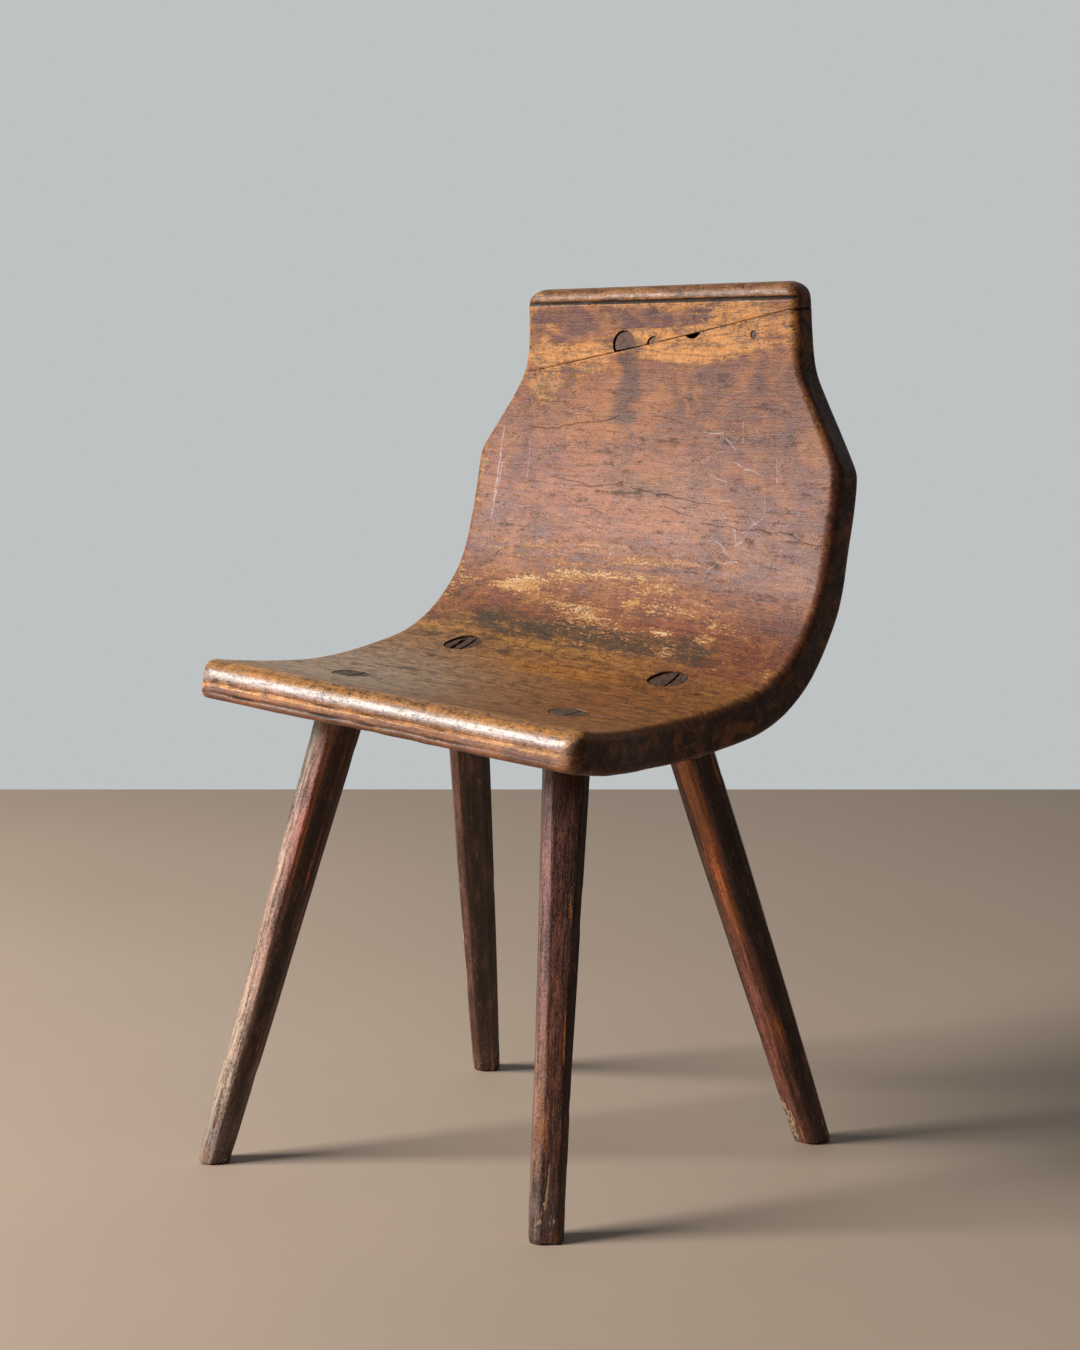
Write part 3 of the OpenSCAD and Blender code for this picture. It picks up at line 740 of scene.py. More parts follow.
def weather_board(piece):
    """Gives every vertex its paint, flakes, grime, stains, wear and colours, with darkening in the grooves
    and painted shade in the holes, the seam, the sides and the underside.
    """
    x, s, n = board_place(vertices(piece) - SHIFT)
    s_in = np.clip(s, 0, BOARD_LEN)
    below = upper_n(s_in) - n
    inset = half_width(s_in) - np.abs(x)
    above_low = n - lower_n(s_in)
    face = 1 - rise(below, 3 * MM, 8 * MM)
    wx = x + (7 * mottle(x, s, 34 * MM, 12 * MM, 101) + 2.5 * mottle(x, s, 9 * MM, 4 * MM, 102)) * MM
    ws = s + (3.5 * mottle(x, s, 60 * MM, 16 * MM, 103) + 1.2 * mottle(x, s, 14 * MM, 5 * MM, 104)) * MM

    # Wear runs all along the left arris; on the right it is only in spots below the shoulder
    arris = bell(below - 2.5 * MM, 4 * MM) * bell(np.clip(inset - 2 * MM, 0, 1), 5 * MM)
    spots = rise(mottle(s, x, 15 * MM, 9 * MM, 105), 0.0, 0.5) * rise(s, 400 * MM, 440 * MM)
    arris = arris * np.where(x < 0, 1.0, 0.9 * spots)
    front_edge = rise(20 * MM - s, 0, 12 * MM) * rise(above_low, 0, 10 * MM)
    off_right = rise(half_width(s_in) - x, 0, 9 * MM)
    front_edge = front_edge * off_right
    bead = rise(s, TOP_GROOVE_S + 1 * MM, TOP_GROOVE_S + 4 * MM) * rise(above_low, 2 * MM, 12 * MM)
    nose = front_edge * (1 - 0.75 * rise(-n, 17 * MM, 21 * MM))
    edge = np.clip(arris + nose + 0.4 * bead, 0, 1)

    paint = np.interp(ws / MM, PAINT_AT, PAINT_LEFT)
    paint = paint + spread(wx, ws, PAINT_PATCHES) - spread(wx, ws, BARE_PATCHES)
    away = 0.94 + 0.14 * mottle(x, s, 60 * MM, 45 * MM, 110)
    front_paint = 0.10 + 0.20 * rise(-n, 12 * MM, 20 * MM) * (1 - 0.6 * rise(-n, 20 * MM, 24 * MM))
    away = away * (1 - front_edge) + front_paint * front_edge
    paint = paint * face + away * (1 - face) - 0.45 * arris
    flake = spread(wx, ws, FLAKES) * face
    # Shards of old paint are left along the lower front edge, most of them to the right
    shards = bell(-n - 26 * MM, 4 * MM) * front_edge * (0.20 + 0.22 * rise(x, -40 * MM, 90 * MM))
    flake = flake + shards * (1 + 0.6 * mottle(x, 0 * x, 30 * MM, 1, 125))
    grime = spread(wx, ws, GRIME) * face - 0.35 * (1 - face)

    groove = bell(s - TOP_GROOVE_S, 2.2 * MM) * face
    front_lines = bell(-n - 21.8 * MM, 1.1 * MM) * 0.8 + bell(-n - 30.3 * MM, 1.6 * MM)
    front_lines = front_lines * rise(8 * MM - s, 0, 6 * MM) * (0.62 + 0.5 * mottle(x, 0 * x, 26 * MM, 1, 120))
    front_lines = front_lines * (1 - 0.5 * rise(x, 40 * MM, 170 * MM))
    # Deep inside the board, the walls of holes and the two faces of the seam get painted shade, darker with
    # depth
    off_low = rise(above_low, 1.5 * MM, 4 * MM)
    inside = rise(inset, 6 * MM, 10 * MM) * rise(s, 12 * MM, 16 * MM) * off_low
    seam = bell(s - SEAM_S - SEAM_SLOPE * x, 1.6 * MM)
    inside = np.maximum(inside, seam * off_low) * rise(BOARD_LEN - s, 11 * MM, 14 * MM)
    pit = inside * rise(below, 0.5 * MM, 2.6 * MM)
    # Darkening in the grooves, with painted shade in the holes and along the seam
    shade_and_dirt = np.clip(np.maximum.reduce([groove, front_lines, pit, 0.45 * seam * face]), 0, 1)
    stain = np.clip(spread(wx, ws, STAINS), 0, 1) * face

    store(piece, "along", (x, s, n))
    store(piece, "coat", (paint, flake, grime))
    store(piece, "marks", (stain, shade_and_dirt, edge))
    # The wood's colour carries a painted sheen on the seat's front left
    wood = washes(wx, ws, "#8f6236", WOOD_ZONES_AND_SHEEN)
    # The front edge takes its bands, with their painted highlight on the bead
    front = (rise(20 * MM - s, 0, 14 * MM) * off_right)[:, None]
    wood = wood + (banded(-n / MM, FRONT_BANDS_AND_HIGHLIGHT) - wood) * front
    wood = wood + (linear("#7a5030") - wood) * (0.75 * bead)[:, None]
    coat = washes(wx, ws, "#7a4a3a", COAT_ZONES)
    coat = coat + (linear("#6a4535") - coat) * (front * (1 - rise(-n, 30 * MM, 38 * MM))[:, None])
    # The sides and underside get a near-black coat: their darker paint, with painted shade for faces turned
    # from the light
    dark = rise(below, 3 * MM, 9 * MM)[:, None] * (1 - front) * (1 - 0.8 * bead[:, None])
    coat = coat + (linear("#240c05") - coat) * dark
    store(piece, "wood_tone_and_sheen", wood.T)
    store(piece, "coat_tone_and_shade", coat.T)


# Washes of colour on each leg, with painted light in pale and bright colours on faces turned towards the
# window and painted shade in near-black on faces turned away:
# colour, compass turn of the face in degrees, share of the height, half turn in degrees, half share, strength
LEG_TONES_LIT_AND_SHADED = [
    [("#a98c7c", 262, 0.55, 42, 0.60, 1.0), ("#9c957e", 240, 0.90, 34, 0.12, 0.8),
     ("#935f58", 288, 0.72, 20, 0.22, 0.8), ("#8a3f2c", 300, 0.66, 9, 0.20, 0.8),
     ("#a5917e", 246, 0.18, 50, 0.16, 0.85), ("#24110c", 335, 0.50, 25, 0.70, 1.0),
     ("#75706c", 256, 0.05, 60, 0.06, 0.75)],
    [("#6e4a48", 262, 0.62, 34, 0.40, 1.0), ("#857d7c", 262, 0.93, 34, 0.07, 0.9),
     ("#8a664c", 250, 0.22, 34, 0.14, 0.6), ("#74463a", 315, 0.50, 24, 0.50, 1.0),
     ("#2e211d", 318, 0.93, 26, 0.13, 0.9), ("#5a4640", 300, 0.84, 10, 0.06, 0.5),
     ("#4b3f3b", 300, 0.04, 90, 0.07, 0.8), ("#33190f", 0, 0.50, 26, 0.70, 1.0),
     ("#33190f", 360, 0.50, 26, 0.70, 1.0)],
    [("#543630", 250, 0.60, 34, 0.60, 1.0), ("#2a1d16", 315, 0.50, 30, 0.70, 1.0),
     ("#4a2b22", 310, 0.85, 22, 0.14, 0.7), ("#2a1712", 360, 0.50, 30, 0.70, 1.0)],
    [("#d8732e", 282, 0.74, 24, 0.28, 1.0), ("#7c443a", 262, 0.30, 26, 0.22, 0.9),
     ("#47352b", 214, 0.60, 22, 0.60, 0.95), ("#3b2018", 322, 0.60, 20, 0.50, 1.0),
     ("#55291a", 300, 0.20, 22, 0.12, 0.7), ("#2c1811", 350, 0.50, 26, 0.70, 1.0)]]


def looking(facing, at, low, high):
    """1 where a leg's side looks towards the compass turn at, fading as the cosine falls to low."""
    return rise(np.cos(np.radians(facing - at)), low, high)


def weather_leg(piece, i):
    """Gives a leg's vertices their place on the leg and their paint, chips, grime and wear, with painted
    light and shade on its faces, in its mortise and at the floor.
    """
    foot, head, axes = leg_frame(i)
    full = np.linalg.norm(head - foot)
    points = vertices(piece)
    rel = points - foot
    a, b, h = rel @ axes[0], rel @ axes[1], rel @ axes[2]
    turn = np.arctan2(b, a)
    nearest = (turn + math.pi / 8) % (math.pi / 4) - math.pi / 8
    ridge = rise(np.abs(nearest), 17 * DEG, 22 * DEG)
    share = np.clip(h / full, 0, 1)
    facing = np.degrees(LEG_FACES[i] + turn) % 360
    _, s, n = board_place(points - SHIFT)
    in_board = rise(n - lower_n(np.clip(s, 0, BOARD_LEN)), 0.5 * MM, 2 * MM)
    top = rise(n, -5 * MM, -2.8 * MM)
    foot_wear = 1 - rise(h, 14 * MM, 75 * MM)
    blotch = mottle(turn, h, 0.9, 70 * MM, 130 + i)
    patchy = rise(mottle(turn * 2, h, 1, 38 * MM, 140 + i), -0.2, 0.5)
    paint = 0.84 + 0.18 * blotch - 0.36 * ridge * patchy - 0.22 * foot_wear
    nicks = np.clip(mottle(turn, h, 0.4, 9 * MM, 150 + i), 0, 1)
    chip = 0.16 * ridge * patchy + 0.30 * foot_wear + 0.25 * nicks * foot_wear
    # Each leg's own wear: a rubbed ridge, a thin spot with a scratch, chips, and a bare upper face, also
    # painted bright as painted light where the seat shades it
    if i == 0:
        paint = paint - 0.55 * ridge * rise(share, 0.5, 0.6) * looking(facing, 306, 0.9, 0.97)
    if i == 1:
        paint = paint - 0.25 * bell(share - 0.24, 0.10) * looking(facing, 262, 0.8, 0.95)
        scratch = bell(facing - 296 - 260 * h, 3.0) * rise(h, 24 * MM, 30 * MM)
        scratch = scratch * rise(68 * MM - h, 0, 8 * MM)
        chip = chip + 0.9 * scratch
    if i == 2:
        chips = bell(h - 112 * MM, 30 * MM) + bell(h - 158 * MM, 9 * MM)
        chip = chip + 0.95 * chips * looking(facing, 215, 0.75, 0.95)
    if i == 3:
        # Bare orange wood high on the left face, made bright as painted light where the seat shades it
        bare_and_painted_light = bell(share - 0.76, 0.13) + 0.35 * bell(share - 0.52, 0.09)
        paint = paint - 0.80 * bare_and_painted_light * looking(facing, 280, 0.85, 0.97)
        low_patch = bell(share - 0.27, 0.07) * looking(facing, 305, 0.85, 0.97)
        paint = paint - 0.6 * low_patch
        chip = chip + 0.5 * bell(h - 34 * MM, 28 * MM) * looking(facing, 235, 0.8, 0.97)
    splashes = 0.5 + 0.5 * mottle(turn, h, 0.8, 22 * MM, 160 + i)
    grime = 0.16 + 0.4 * foot_wear * splashes + 0.15 * rise(share, 0.75, 0.95)
    # Painted shade on the tenon's sides inside the mortise, and a painted contact shadow on the lowest 1.5 mm
    # above the floor
    shade_and_dirt = np.clip(in_board * (1 - top) + 0.55 * rise(1.5 * MM - points[:, 2], 0, 1.5 * MM), 0, 1)
    # Each face's colour: its paint, with painted light on faces turned towards the window and painted shade
    # on faces turned away
    tone = np.tile(linear("#4a2a22"), (len(h), 1))
    for code, at, level, half, reach, strength in LEG_TONES_LIT_AND_SHADED[i]:
        off = (facing - at + 180) % 360 - 180
        amount = strength / (1 + ((off / half) ** 2 + ((share - level) / reach) ** 2) ** 2)
        tone = tone + (linear(code) - tone) * amount[:, None]
    store(piece, "along", (a, b, h))
    store(piece, "coat", (paint, chip * (1 - top) + top * (i < 2), grime))
    store(piece, "marks", (top, shade_and_dirt, ridge))
    store(piece, "coat_tone_and_shade", tone.T)


def weather_end(piece, middle, across, along, axis):
    """End-grain pieces: their own coordinates about the middle of the face that shows."""
    rel = vertices(piece) - middle
    store(piece, "along", (rel @ across, rel @ along, rel @ axis))


# ---- Materials ----


class Finish:
    """A material's node tree, built a node at a time."""

    def __init__(self, name):
        self.material = bpy.data.materials.new(name)
        self.material.use_nodes = True
        self.nodes = self.material.node_tree.nodes
        self.links = self.material.node_tree.links
        self.shader = self.nodes["Principled BSDF"]

    def add(self, kind, feeds, **settings):
        """A new node with its settings, its sockets linked or set by number or name."""
        node = self.nodes.new(kind)
        for key, value in settings.items():
            setattr(node, key, value)
        for socket, value in feeds.items():
            self.feed(node.inputs[socket], value)
        return node

    def feed(self, socket, value):
        """Links a socket to another node's output, or sets its plain value."""
        if isinstance(value, bpy.types.NodeSocket):
            self.links.new(value, socket)
        else:
            socket.default_value = value

    def number(self, operation, a, b=0.0, clamp=False):
        """One step of arithmetic on two numbers."""
        return self.add("ShaderNodeMath", {0: a, 1: b}, operation=operation, use_clamp=clamp).outputs[0]

    def vector(self, operation, a, b, out="Vector"):
        """One step of arithmetic on two places."""
        return self.add("ShaderNodeVectorMath", {0: a, 1: b}, operation=operation).outputs[out]

    def scaled(self, place, factor):
        """A place or a colour times a number."""
        return self.add("ShaderNodeVectorMath", {0: place, 3: factor}, operation="SCALE").outputs[0]

    def total(self, *parts):
        """Sum of value times weight."""
        result = 0.0
        for value, weight in parts:
            feeds = {0: value, 1: weight, 2: result}
            result = self.add("ShaderNodeMath", feeds, operation="MULTIPLY_ADD").outputs[0]
        return result

    def held(self, name):
        """The three numbers that every vertex keeps under this name."""
        return self.add("ShaderNodeAttribute", {}, attribute_name=name).outputs["Vector"]

    def split(self, name):
        """The same, one at a time."""
        return self.add("ShaderNodeSeparateXYZ", {0: self.held(name)}).outputs

    def stretched(self, where, scale, shift=(0, 0, 0)):
        """Places scaled each way, then shifted."""
        return self.add("ShaderNodeMapping", {"Vector": where, "Scale": scale, "Location": shift}).outputs[0]

    def noise(self, where, scale, detail=4.0, rough=0.55, shift=(0, 0, 0), bend=0.0):
        """Noise centred on 0, mostly within -0.2 to 0.2; scale gives its cells per metre each way."""
        made = self.add("ShaderNodeTexNoise", {"Vector": self.stretched(where, scale, shift), "Scale": 1.0,
                                              "Detail": detail, "Roughness": rough, "Distortion": bend})
        return self.number("SUBTRACT", made.outputs[0], 0.5)

    def step(self, value, low, high, to_low=0.0, to_high=1.0):
        """A smooth step from to_low to to_high as value goes from low to high."""
        return self.add("ShaderNodeMapRange", {0: value, 1: low, 2: high, 3: to_low, 4: to_high},
                        interpolation_type="SMOOTHSTEP").outputs[0]

    def mix(self, under, over, amount):
        """One colour blended into another by amount."""
        node = self.add("ShaderNodeMix", {}, data_type="RGBA")
        for socket, value in ((node.inputs[0], amount), (node.inputs[6], under), (node.inputs[7], over)):
            self.feed(socket, value)
        return node.outputs[2]

    def laid(self, under, code, amount, share):
        """One plain colour laid over another, as thick as amount times share."""
        return self.mix(under, rgb(code), self.number("MULTIPLY", amount, share))

    def shade(self, colour, *parts):
        """Colour times one plus the sum of value times weight, never darker than a fifth."""
        factor = self.number("MAXIMUM", self.total((1.0, 1.0), *parts), 0.2)
        plain = colour[:3] if isinstance(colour, tuple) else colour
        return self.scaled(plain, factor)

    def bent(self, where, across, along):
        """Places shifted by two noises, in metres, so that what is drawn there wanders."""
        shift = self.add("ShaderNodeCombineXYZ", {0: across, 1: along}).outputs[0]
        return self.vector("ADD", where, shift)

    def stroke(self, where, start, end, width, ragged):
        """A mark along a line from start to end, in millimetres across and along, broken by noise."""
        a = (start[0] * MM, start[1] * MM, 0)
        run = ((end[0] - start[0]) * MM, (end[1] - start[1]) * MM, 0)
        rel = self.vector("SUBTRACT", where, a)
        dot = self.vector("DOT_PRODUCT", rel, run, "Value")
        share = self.number("DIVIDE", dot, run[0] ** 2 + run[1] ** 2, clamp=True)
        gap = self.vector("DISTANCE", rel, self.scaled(run, share), "Value")
        near = self.step(gap, 0.0, width * MM, 1.0, 0.0)
        return self.step(self.total((near, 1.0), (ragged, 3.0)), 0.40, 1.0)

    def strokes(self, where, marks, ragged):
        """The strongest of many such marks."""
        strongest = 0.0
        for start, end, width in marks:
            strongest = self.number("MAXIMUM", strongest, self.stroke(where, start, end, width, ragged))
        return strongest

    def waxed(self, amount, rough):
        """A thin wax gloss, its weight given all over and its roughness plain."""
        self.feed(self.shader.inputs["Coat Weight"], amount)
        self.shader.inputs["Coat Roughness"].default_value = rough

    def done(self, colour, rough, height, depth):
        """Joins colour, roughness and a bump of the given depth to the shader."""
        bump = self.add("ShaderNodeBump", {"Height": height, "Distance": depth, "Strength": 1.0})
        self.feed(self.shader.inputs["Base Color"], colour)
        self.feed(self.shader.inputs["Roughness"], rough)
        self.feed(self.shader.inputs["Normal"], bump.outputs[0])
        return self.material


def rgb(code):
    """A web colour as a shader's own linear colour."""
    return (*linear(code), 1.0)


# Pale scuffs and dark cracks: start, end and half width, in millimetres across and along
SCUFFS = [((60, 529), (84, 525), 1.3), ((86, 523), (98, 514), 1.1), ((105, 536), (106, 519), 1.3),
          ((117, 531), (124, 521), 1.0), ((112, 493), (124, 490), 1.6), ((146, 502), (150, 482), 1.2),
          ((84, 462), (100, 463), 1.4), ((107, 438), (113, 424), 1.3), ((118, 432), (138, 445), 1.2),
          ((112, 421), (120, 425), 2.0), ((104, 406), (119, 407), 1.6), ((-184, 520), (-186, 440), 2.2),
          ((-181, 480), (-187, 425), 1.5), ((-150, 500), (-148, 462), 0.9), ((84, 398), (92, 404), 1.1),
          ((140, 118), (161, 123), 2.2), ((74, 508), (90, 514), 0.8), ((99, 501), (129, 487), 0.9),
          ((94, 449), (111, 433), 0.9), ((114, 453), (131, 438), 1.0), ((88, 421), (109, 412), 1.0),
          ((136, 470), (139, 448), 0.8), ((72, 486), (92, 480), 0.8)]
CRACKS = [((-150, 522), (-40, 530), 0.9), ((0, 534), (34, 533), 0.8), ((-118, 472), (-30, 466), 0.8),
          ((-20, 465), (86, 456), 0.8), ((20, 452), (60, 444), 0.7), ((70, 437), (150, 433), 0.9),
          ((160, 436), (212, 432), 0.9), ((-105, 450), (-50, 442), 0.7), ((198, 481), (214, 484), 1.3),
          ((-36, 466), (-30, 468), 2.6), ((124, 428), (132, 427), 2.6), ((202, 430), (208, 431), 2.4),
          ((-127, 236), (-131, 246), 1.6), ((-12, 48), (6, 44), 2.4), ((-122, 57), (-106, 54), 2.6),
          ((-192, 101), (-184, 99), 2.4), ((-30, 72), (-6, 70), 2.4)]


def worn_board_paint():
    """Thin red-brown paint rubbed through to golden wood whose grain runs across the board."""
    f = Finish("worn_board_paint")
    along = f.held("along")
    paint, flake, grime = f.split("coat")[:3]
    stain, shade_and_dirt, edge = f.split("marks")[:3]
    streak = f.noise(along, (14, 190, 190), 6, 0.66)
    fibre = f.noise(along, (55, 780, 780), 3, 0.7, (3, 1, 7))
    cloud = f.noise(along, (10, 16, 16), 4, 0.6, (5, 2, 1), 0.4)
    speck = f.noise(along, (380, 480, 480), 3, 0.7, (1, 4, 2))
    brush = f.noise(along, (24, 75, 75), 6, 0.72, (8, 3, 5), 0.5)
    broad = f.noise(along, (6, 40, 40), 4, 0.6, (7, 7, 2), 0.3)
    grain = f.noise(along, (70, 125, 125), 5, 0.82, (2, 8, 8), 0.5)
    hue = f.noise(along, (22, 30, 30), 5, 0.7, (6, 1, 9), 0.6)

    # Growth lines: dark where a wandering count of millimetres along the board comes round
    s = f.add("ShaderNodeSeparateXYZ", {0: along}).outputs[1]
    drift = f.noise(along, (5, 7, 7), 2, 0.5, (2, 9, 4))
    count = f.total((s, 610.0), (drift, 26.0), (streak, 3.0))
    line = f.step(f.number("SINE", count), 0.55, 1.0)
    line = f.number("MULTIPLY", line, f.step(cloud, -0.12, 0.12, 0.1, 0.9))

    mots = f.noise(along, (95, 75, 75), 5, 0.82, (4, 4, 4), 0.3)
    # The wood's colour carries a painted sheen on the seat's front left and a painted highlight on the front
    # bead
    wood = f.shade(f.held("wood_tone_and_sheen"), (streak, 1.6), (fibre, 1.3), (cloud, 0.8), (speck, 2.4),
                   (broad, 1.0), (grain, 2.6), (mots, 3.2))
    wood = f.laid(wood, "#4a2a14", f.step(brush, 0.02, 0.22), 0.5)
    dashes = f.noise(along, (55, 170, 170), 4, 0.7, (1, 2, 3), 0.2)
    wood = f.laid(wood, "#3f2014", f.step(dashes, 0.08, 0.17), 0.75)
    wood = f.laid(wood, "#341c12", f.step(mots, 0.08, 0.17), 0.65)
    wood = f.laid(wood, "#c79a64", f.step(mots, -0.09, -0.19), 0.35)
    wood = f.laid(wood, "#c99c62", f.step(dashes, -0.07, -0.17), 0.45)
    wood = f.laid(wood, "#4a2a14", line, 0.45)
    # The coat's colour is darkened on the board's sides and underside as painted shade
    coat = f.shade(f.held("coat_tone_and_shade"), (cloud, 1.6), (streak, 0.4), (fibre, 1.0), (speck, 2.8),
                   (brush, 0.4), (grain, 1.8), (mots, 1.2))
    coat = f.laid(coat, "#a0643a", f.step(hue, -0.03, 0.12), 0.66)
    coat = f.laid(coat, "#573d44", f.step(hue, 0.0, -0.18), 0.45)
    coat = f.laid(coat, "#3c211b", line, 0.30)

    # The paint that is left, thin in places, with grime and stains over it
    left = f.total((paint, 1.0), (streak, 0.9), (brush, 1.7), (speck, 0.9), (fibre, 0.4), (grain, 1.3),
                   (edge, -0.2))
    left = f.step(left, 0.34, 0.52)
    thin = f.step(f.total((brush, 1.0), (grain, 1.0), (speck, 0.8)), -0.16, 0.14, 0.68, 1.0)
    colour = f.mix(wood, coat, f.number("MULTIPLY", left, thin))

    grimy = f.total((grime, 1.0), (streak, 1.0), (speck, 0.8), (brush, 1.8), (broad, 0.9), (grain, 1.8))
    grimy = f.step(grimy, 0.12, 0.55)
    colour = f.laid(colour, "#3d362a", grimy, 0.80)
    stained = f.step(f.total((stain, 1.0), (streak, 0.5), (brush, 0.9), (speck, 0.3)), 0.14, 0.72)
    colour = f.laid(colour, "#33242a", stained, 0.68)

    # Flakes of an older cream coat, each with a rubbed rim
    crumbs = f.noise(along, (110, 300, 300), 6, 0.84, (4, 6, 3), 0.5)
    flaking = f.total((flake, 1.0), (crumbs, 3.1), (speck, 1.4), (streak, 0.6))
    rubbed = f.step(flaking, 0.34, 0.50)
    colour = f.laid(colour, "#ba7640", rubbed, 0.72)
    flaked = f.step(flaking, 0.52, 0.60)
    cream = f.mix(rgb("#d4b48a"), rgb("#b98a58"), f.step(brush, -0.10, 0.08))
    cream = f.shade(cream, (speck, 1.6), (fibre, 0.8), (cloud, 0.6))
    colour = f.mix(colour, cream, f.number("MULTIPLY", flaked, 0.92))

    # Fine dark checks in the grain, and pale scuffs where something knocked the back
    check = f.step(f.noise(along, (34, 560, 560), 3, 0.6, (6, 8, 2)), 0.12, 0.20)
    check = f.number("MULTIPLY", check, f.step(cloud, -0.12, 0.12, 0.08, 0.5))
    colour = f.laid(colour, "#22120c", check, 1.0)
    sway = f.noise(along, (11, 11, 11), 3)
    wander = f.bent(along, f.number("MULTIPLY", hue, 0.012), f.number("MULTIPLY", sway, 0.035))
    chalky = f.noise(along, (150, 150, 150), 4, 0.8, (9, 9, 1))
    colour = f.laid(colour, "#b9b0b5", f.strokes(wander, SCUFFS, chalky), 0.48)
    cracks = f.strokes(wander, CRACKS, chalky)
    colour = f.laid(colour, "#1c0f0a", cracks, 0.55)

    # Near-black in the grooves, with painted shade deep in the holes and along the seam
    soiled_and_shaded = f.step(f.total((shade_and_dirt, 1.0), (speck, 0.9), (streak, 0.5), (chalky, 0.5)), 0.25, 0.75)
    colour = f.laid(colour, "#110a06", soiled_and_shaded, 0.93)
    dots = f.noise(along, (200, 300, 300), 4, 0.75, (2, 2, 6))
    colour = f.laid(colour, "#23130b", f.step(f.total((dots, 1.0), (edge, 0.045)), 0.12, 0.18), 0.62)

    rough = f.total((grimy, 0.20), (flaked, 0.25), (soiled_and_shaded, 0.30), (streak, 0.30), (speck, 0.5),
                    (grain, 0.4), (edge, -0.08), (1.0, 0.46))
    height = f.total((streak, 0.5), (fibre, 0.4), (speck, 0.5), (left, 0.12), (flaked, 0.20),
                     (cracks, -0.6), (check, -0.3), (soiled_and_shaded, -0.4), (brush, 0.3), (grain, 0.5))
    wax = f.total((edge, 0.7), (grain, 2.4), (speck, 2.0), (grimy, -0.4), (chalky, 1.0))
    f.waxed(f.step(wax, 0.12, 1.0, 0.02, 0.56), 0.27)
    f.shader.inputs["Specular IOR Level"].default_value = 0.36
    return f.done(colour, rough, height, 0.75 * MM)


def worn_leg_paint():
    """Dark red-brown paint over orange wood with its grain up the leg, grey and chipped at the foot."""
    f = Finish("worn_leg_paint")
    along = f.held("along")
    paint, chip, grime = f.split("coat")[:3]
    top, shade_and_dirt, ridge = f.split("marks")[:3]
    streak = f.noise(along, (340, 340, 14), 5, 0.66)
    fibre = f.noise(along, (850, 850, 60), 3, 0.7, (2, 5, 1))
    cloud = f.noise(along, (38, 38, 13), 4, 0.6, (4, 1, 3), 0.3)
    speck = f.noise(along, (480, 480, 330), 3, 0.7, (7, 3, 2))
    rub = f.noise(along, (110, 110, 32), 5, 0.72, (5, 9, 5), 0.4)
    # The coat's colour holds painted light and painted shade by which way each face turns
    coat = f.shade(f.held("coat_tone_and_shade"), (streak, 4.0), (fibre, 2.4), (cloud, 2.0), (speck, 3.6), (rub, 3.6))
    coat = f.laid(coat, "#8a4a34", f.step(rub, 0.04, 0.2), 0.45)
    wood = f.shade(rgb("#b4682c"), (streak, 2.2), (fibre, 1.4), (speck, 1.8))
    left = f.total((paint, 1.0), (streak, 1.2), (cloud, 0.9), (speck, 0.8), (rub, 1.4))
    left = f.step(left, 0.22, 0.58, 0.05, 0.96)
    colour = f.mix(wood, coat, left)
    grimy = f.step(f.total((grime, 1.0), (streak, 1.0), (speck, 0.8), (rub, 1.0)), 0.25, 0.85)
    colour = f.laid(colour, "#5b5148", grimy, 0.6)
    flecks = f.noise(along, (230, 230, 110), 5, 0.75, (1, 6, 9))
    chipped = f.step(f.total((chip, 1.0), (flecks, 2.6), (speck, 0.8)), 0.66, 0.76)
    pale = f.mix(rgb("#aaa6a0"), rgb("#d2ab76"), f.step(rub, -0.06, 0.06))
    colour = f.mix(colour, pale, f.number("MULTIPLY", chipped, 0.85))
    pits = f.step(f.noise(along, (260, 260, 120), 4, 0.75, (8, 2, 2)), 0.12, 0.19)
    colour = f.laid(colour, "#180d09", pits, 0.8)
    dust = f.noise(along, (300, 300, 60), 5, 0.78, (3, 8, 5))
    colour = f.laid(colour, "#ab8d7a", f.step(f.total((dust, 1.0), (rub, 0.3)), 0.10, 0.19), 0.5)
    # The tenon's end: grey-brown with open pores, the front ones worn to the seat's own colour
    pores = f.noise(along, (420, 620, 40), 5, 0.72, (3, 3, 8), 0.4)
    worn_end = f.mix(rgb("#5e4538"), rgb("#665444"), chip)
    end_grain = f.shade(worn_end, (pores, 5.5), (rub, 3.4))
    end_grain = f.laid(end_grain, "#1d130d", f.step(f.total((pores, 1.0), (rub, 0.6)), 0.03, 0.13), 0.75)
    colour = f.mix(colour, end_grain, top)
    # Painted shade in the mortise and a painted contact shadow at the floor
    colour = f.laid(colour, "#100906", shade_and_dirt, 0.9)
    rough = f.total((grimy, 0.18), (chipped, 0.15), (streak, 0.3), (speck, 0.4), (ridge, -0.06),
                    (top, 0.2), (1.0, 0.42))
    height = f.total((streak, 0.6), (fibre, 0.4), (speck, 0.45), (left, 0.12), (chipped, -0.2),
                     (rub, 0.6), (f.number("MULTIPLY", pores, top), 2.0))
    wax = f.total((ridge, 0.4), (rub, 1.8), (speck, 1.0))
    f.waxed(f.step(wax, -0.1, 0.7, 0.0, 0.5), 0.28)
    return f.done(colour, rough, height, 1.2 * MM)


def old_end_grain(name, base, deep):
    """End grain of plugs, pegs and wedges: pores and fine checks, darker in clouds."""
    f = Finish(name)
    along = f.held("along")
    pores = f.noise(along, (420, 620, 300), 5, 0.72, (0, 0, 0), 0.3)
    cloud = f.noise(along, (120, 160, 90), 3, 0.6, (2, 7, 1))
    colour = f.shade(rgb(base), (pores, 3.5))
    colour = f.laid(colour, deep, f.step(cloud, -0.08, 0.12), 0.9)
    rough = f.total((pores, 0.3), (1.0, 0.60))
    return f.done(colour, rough, f.total((pores, 1.2), (cloud, 0.4)), 0.5 * MM)


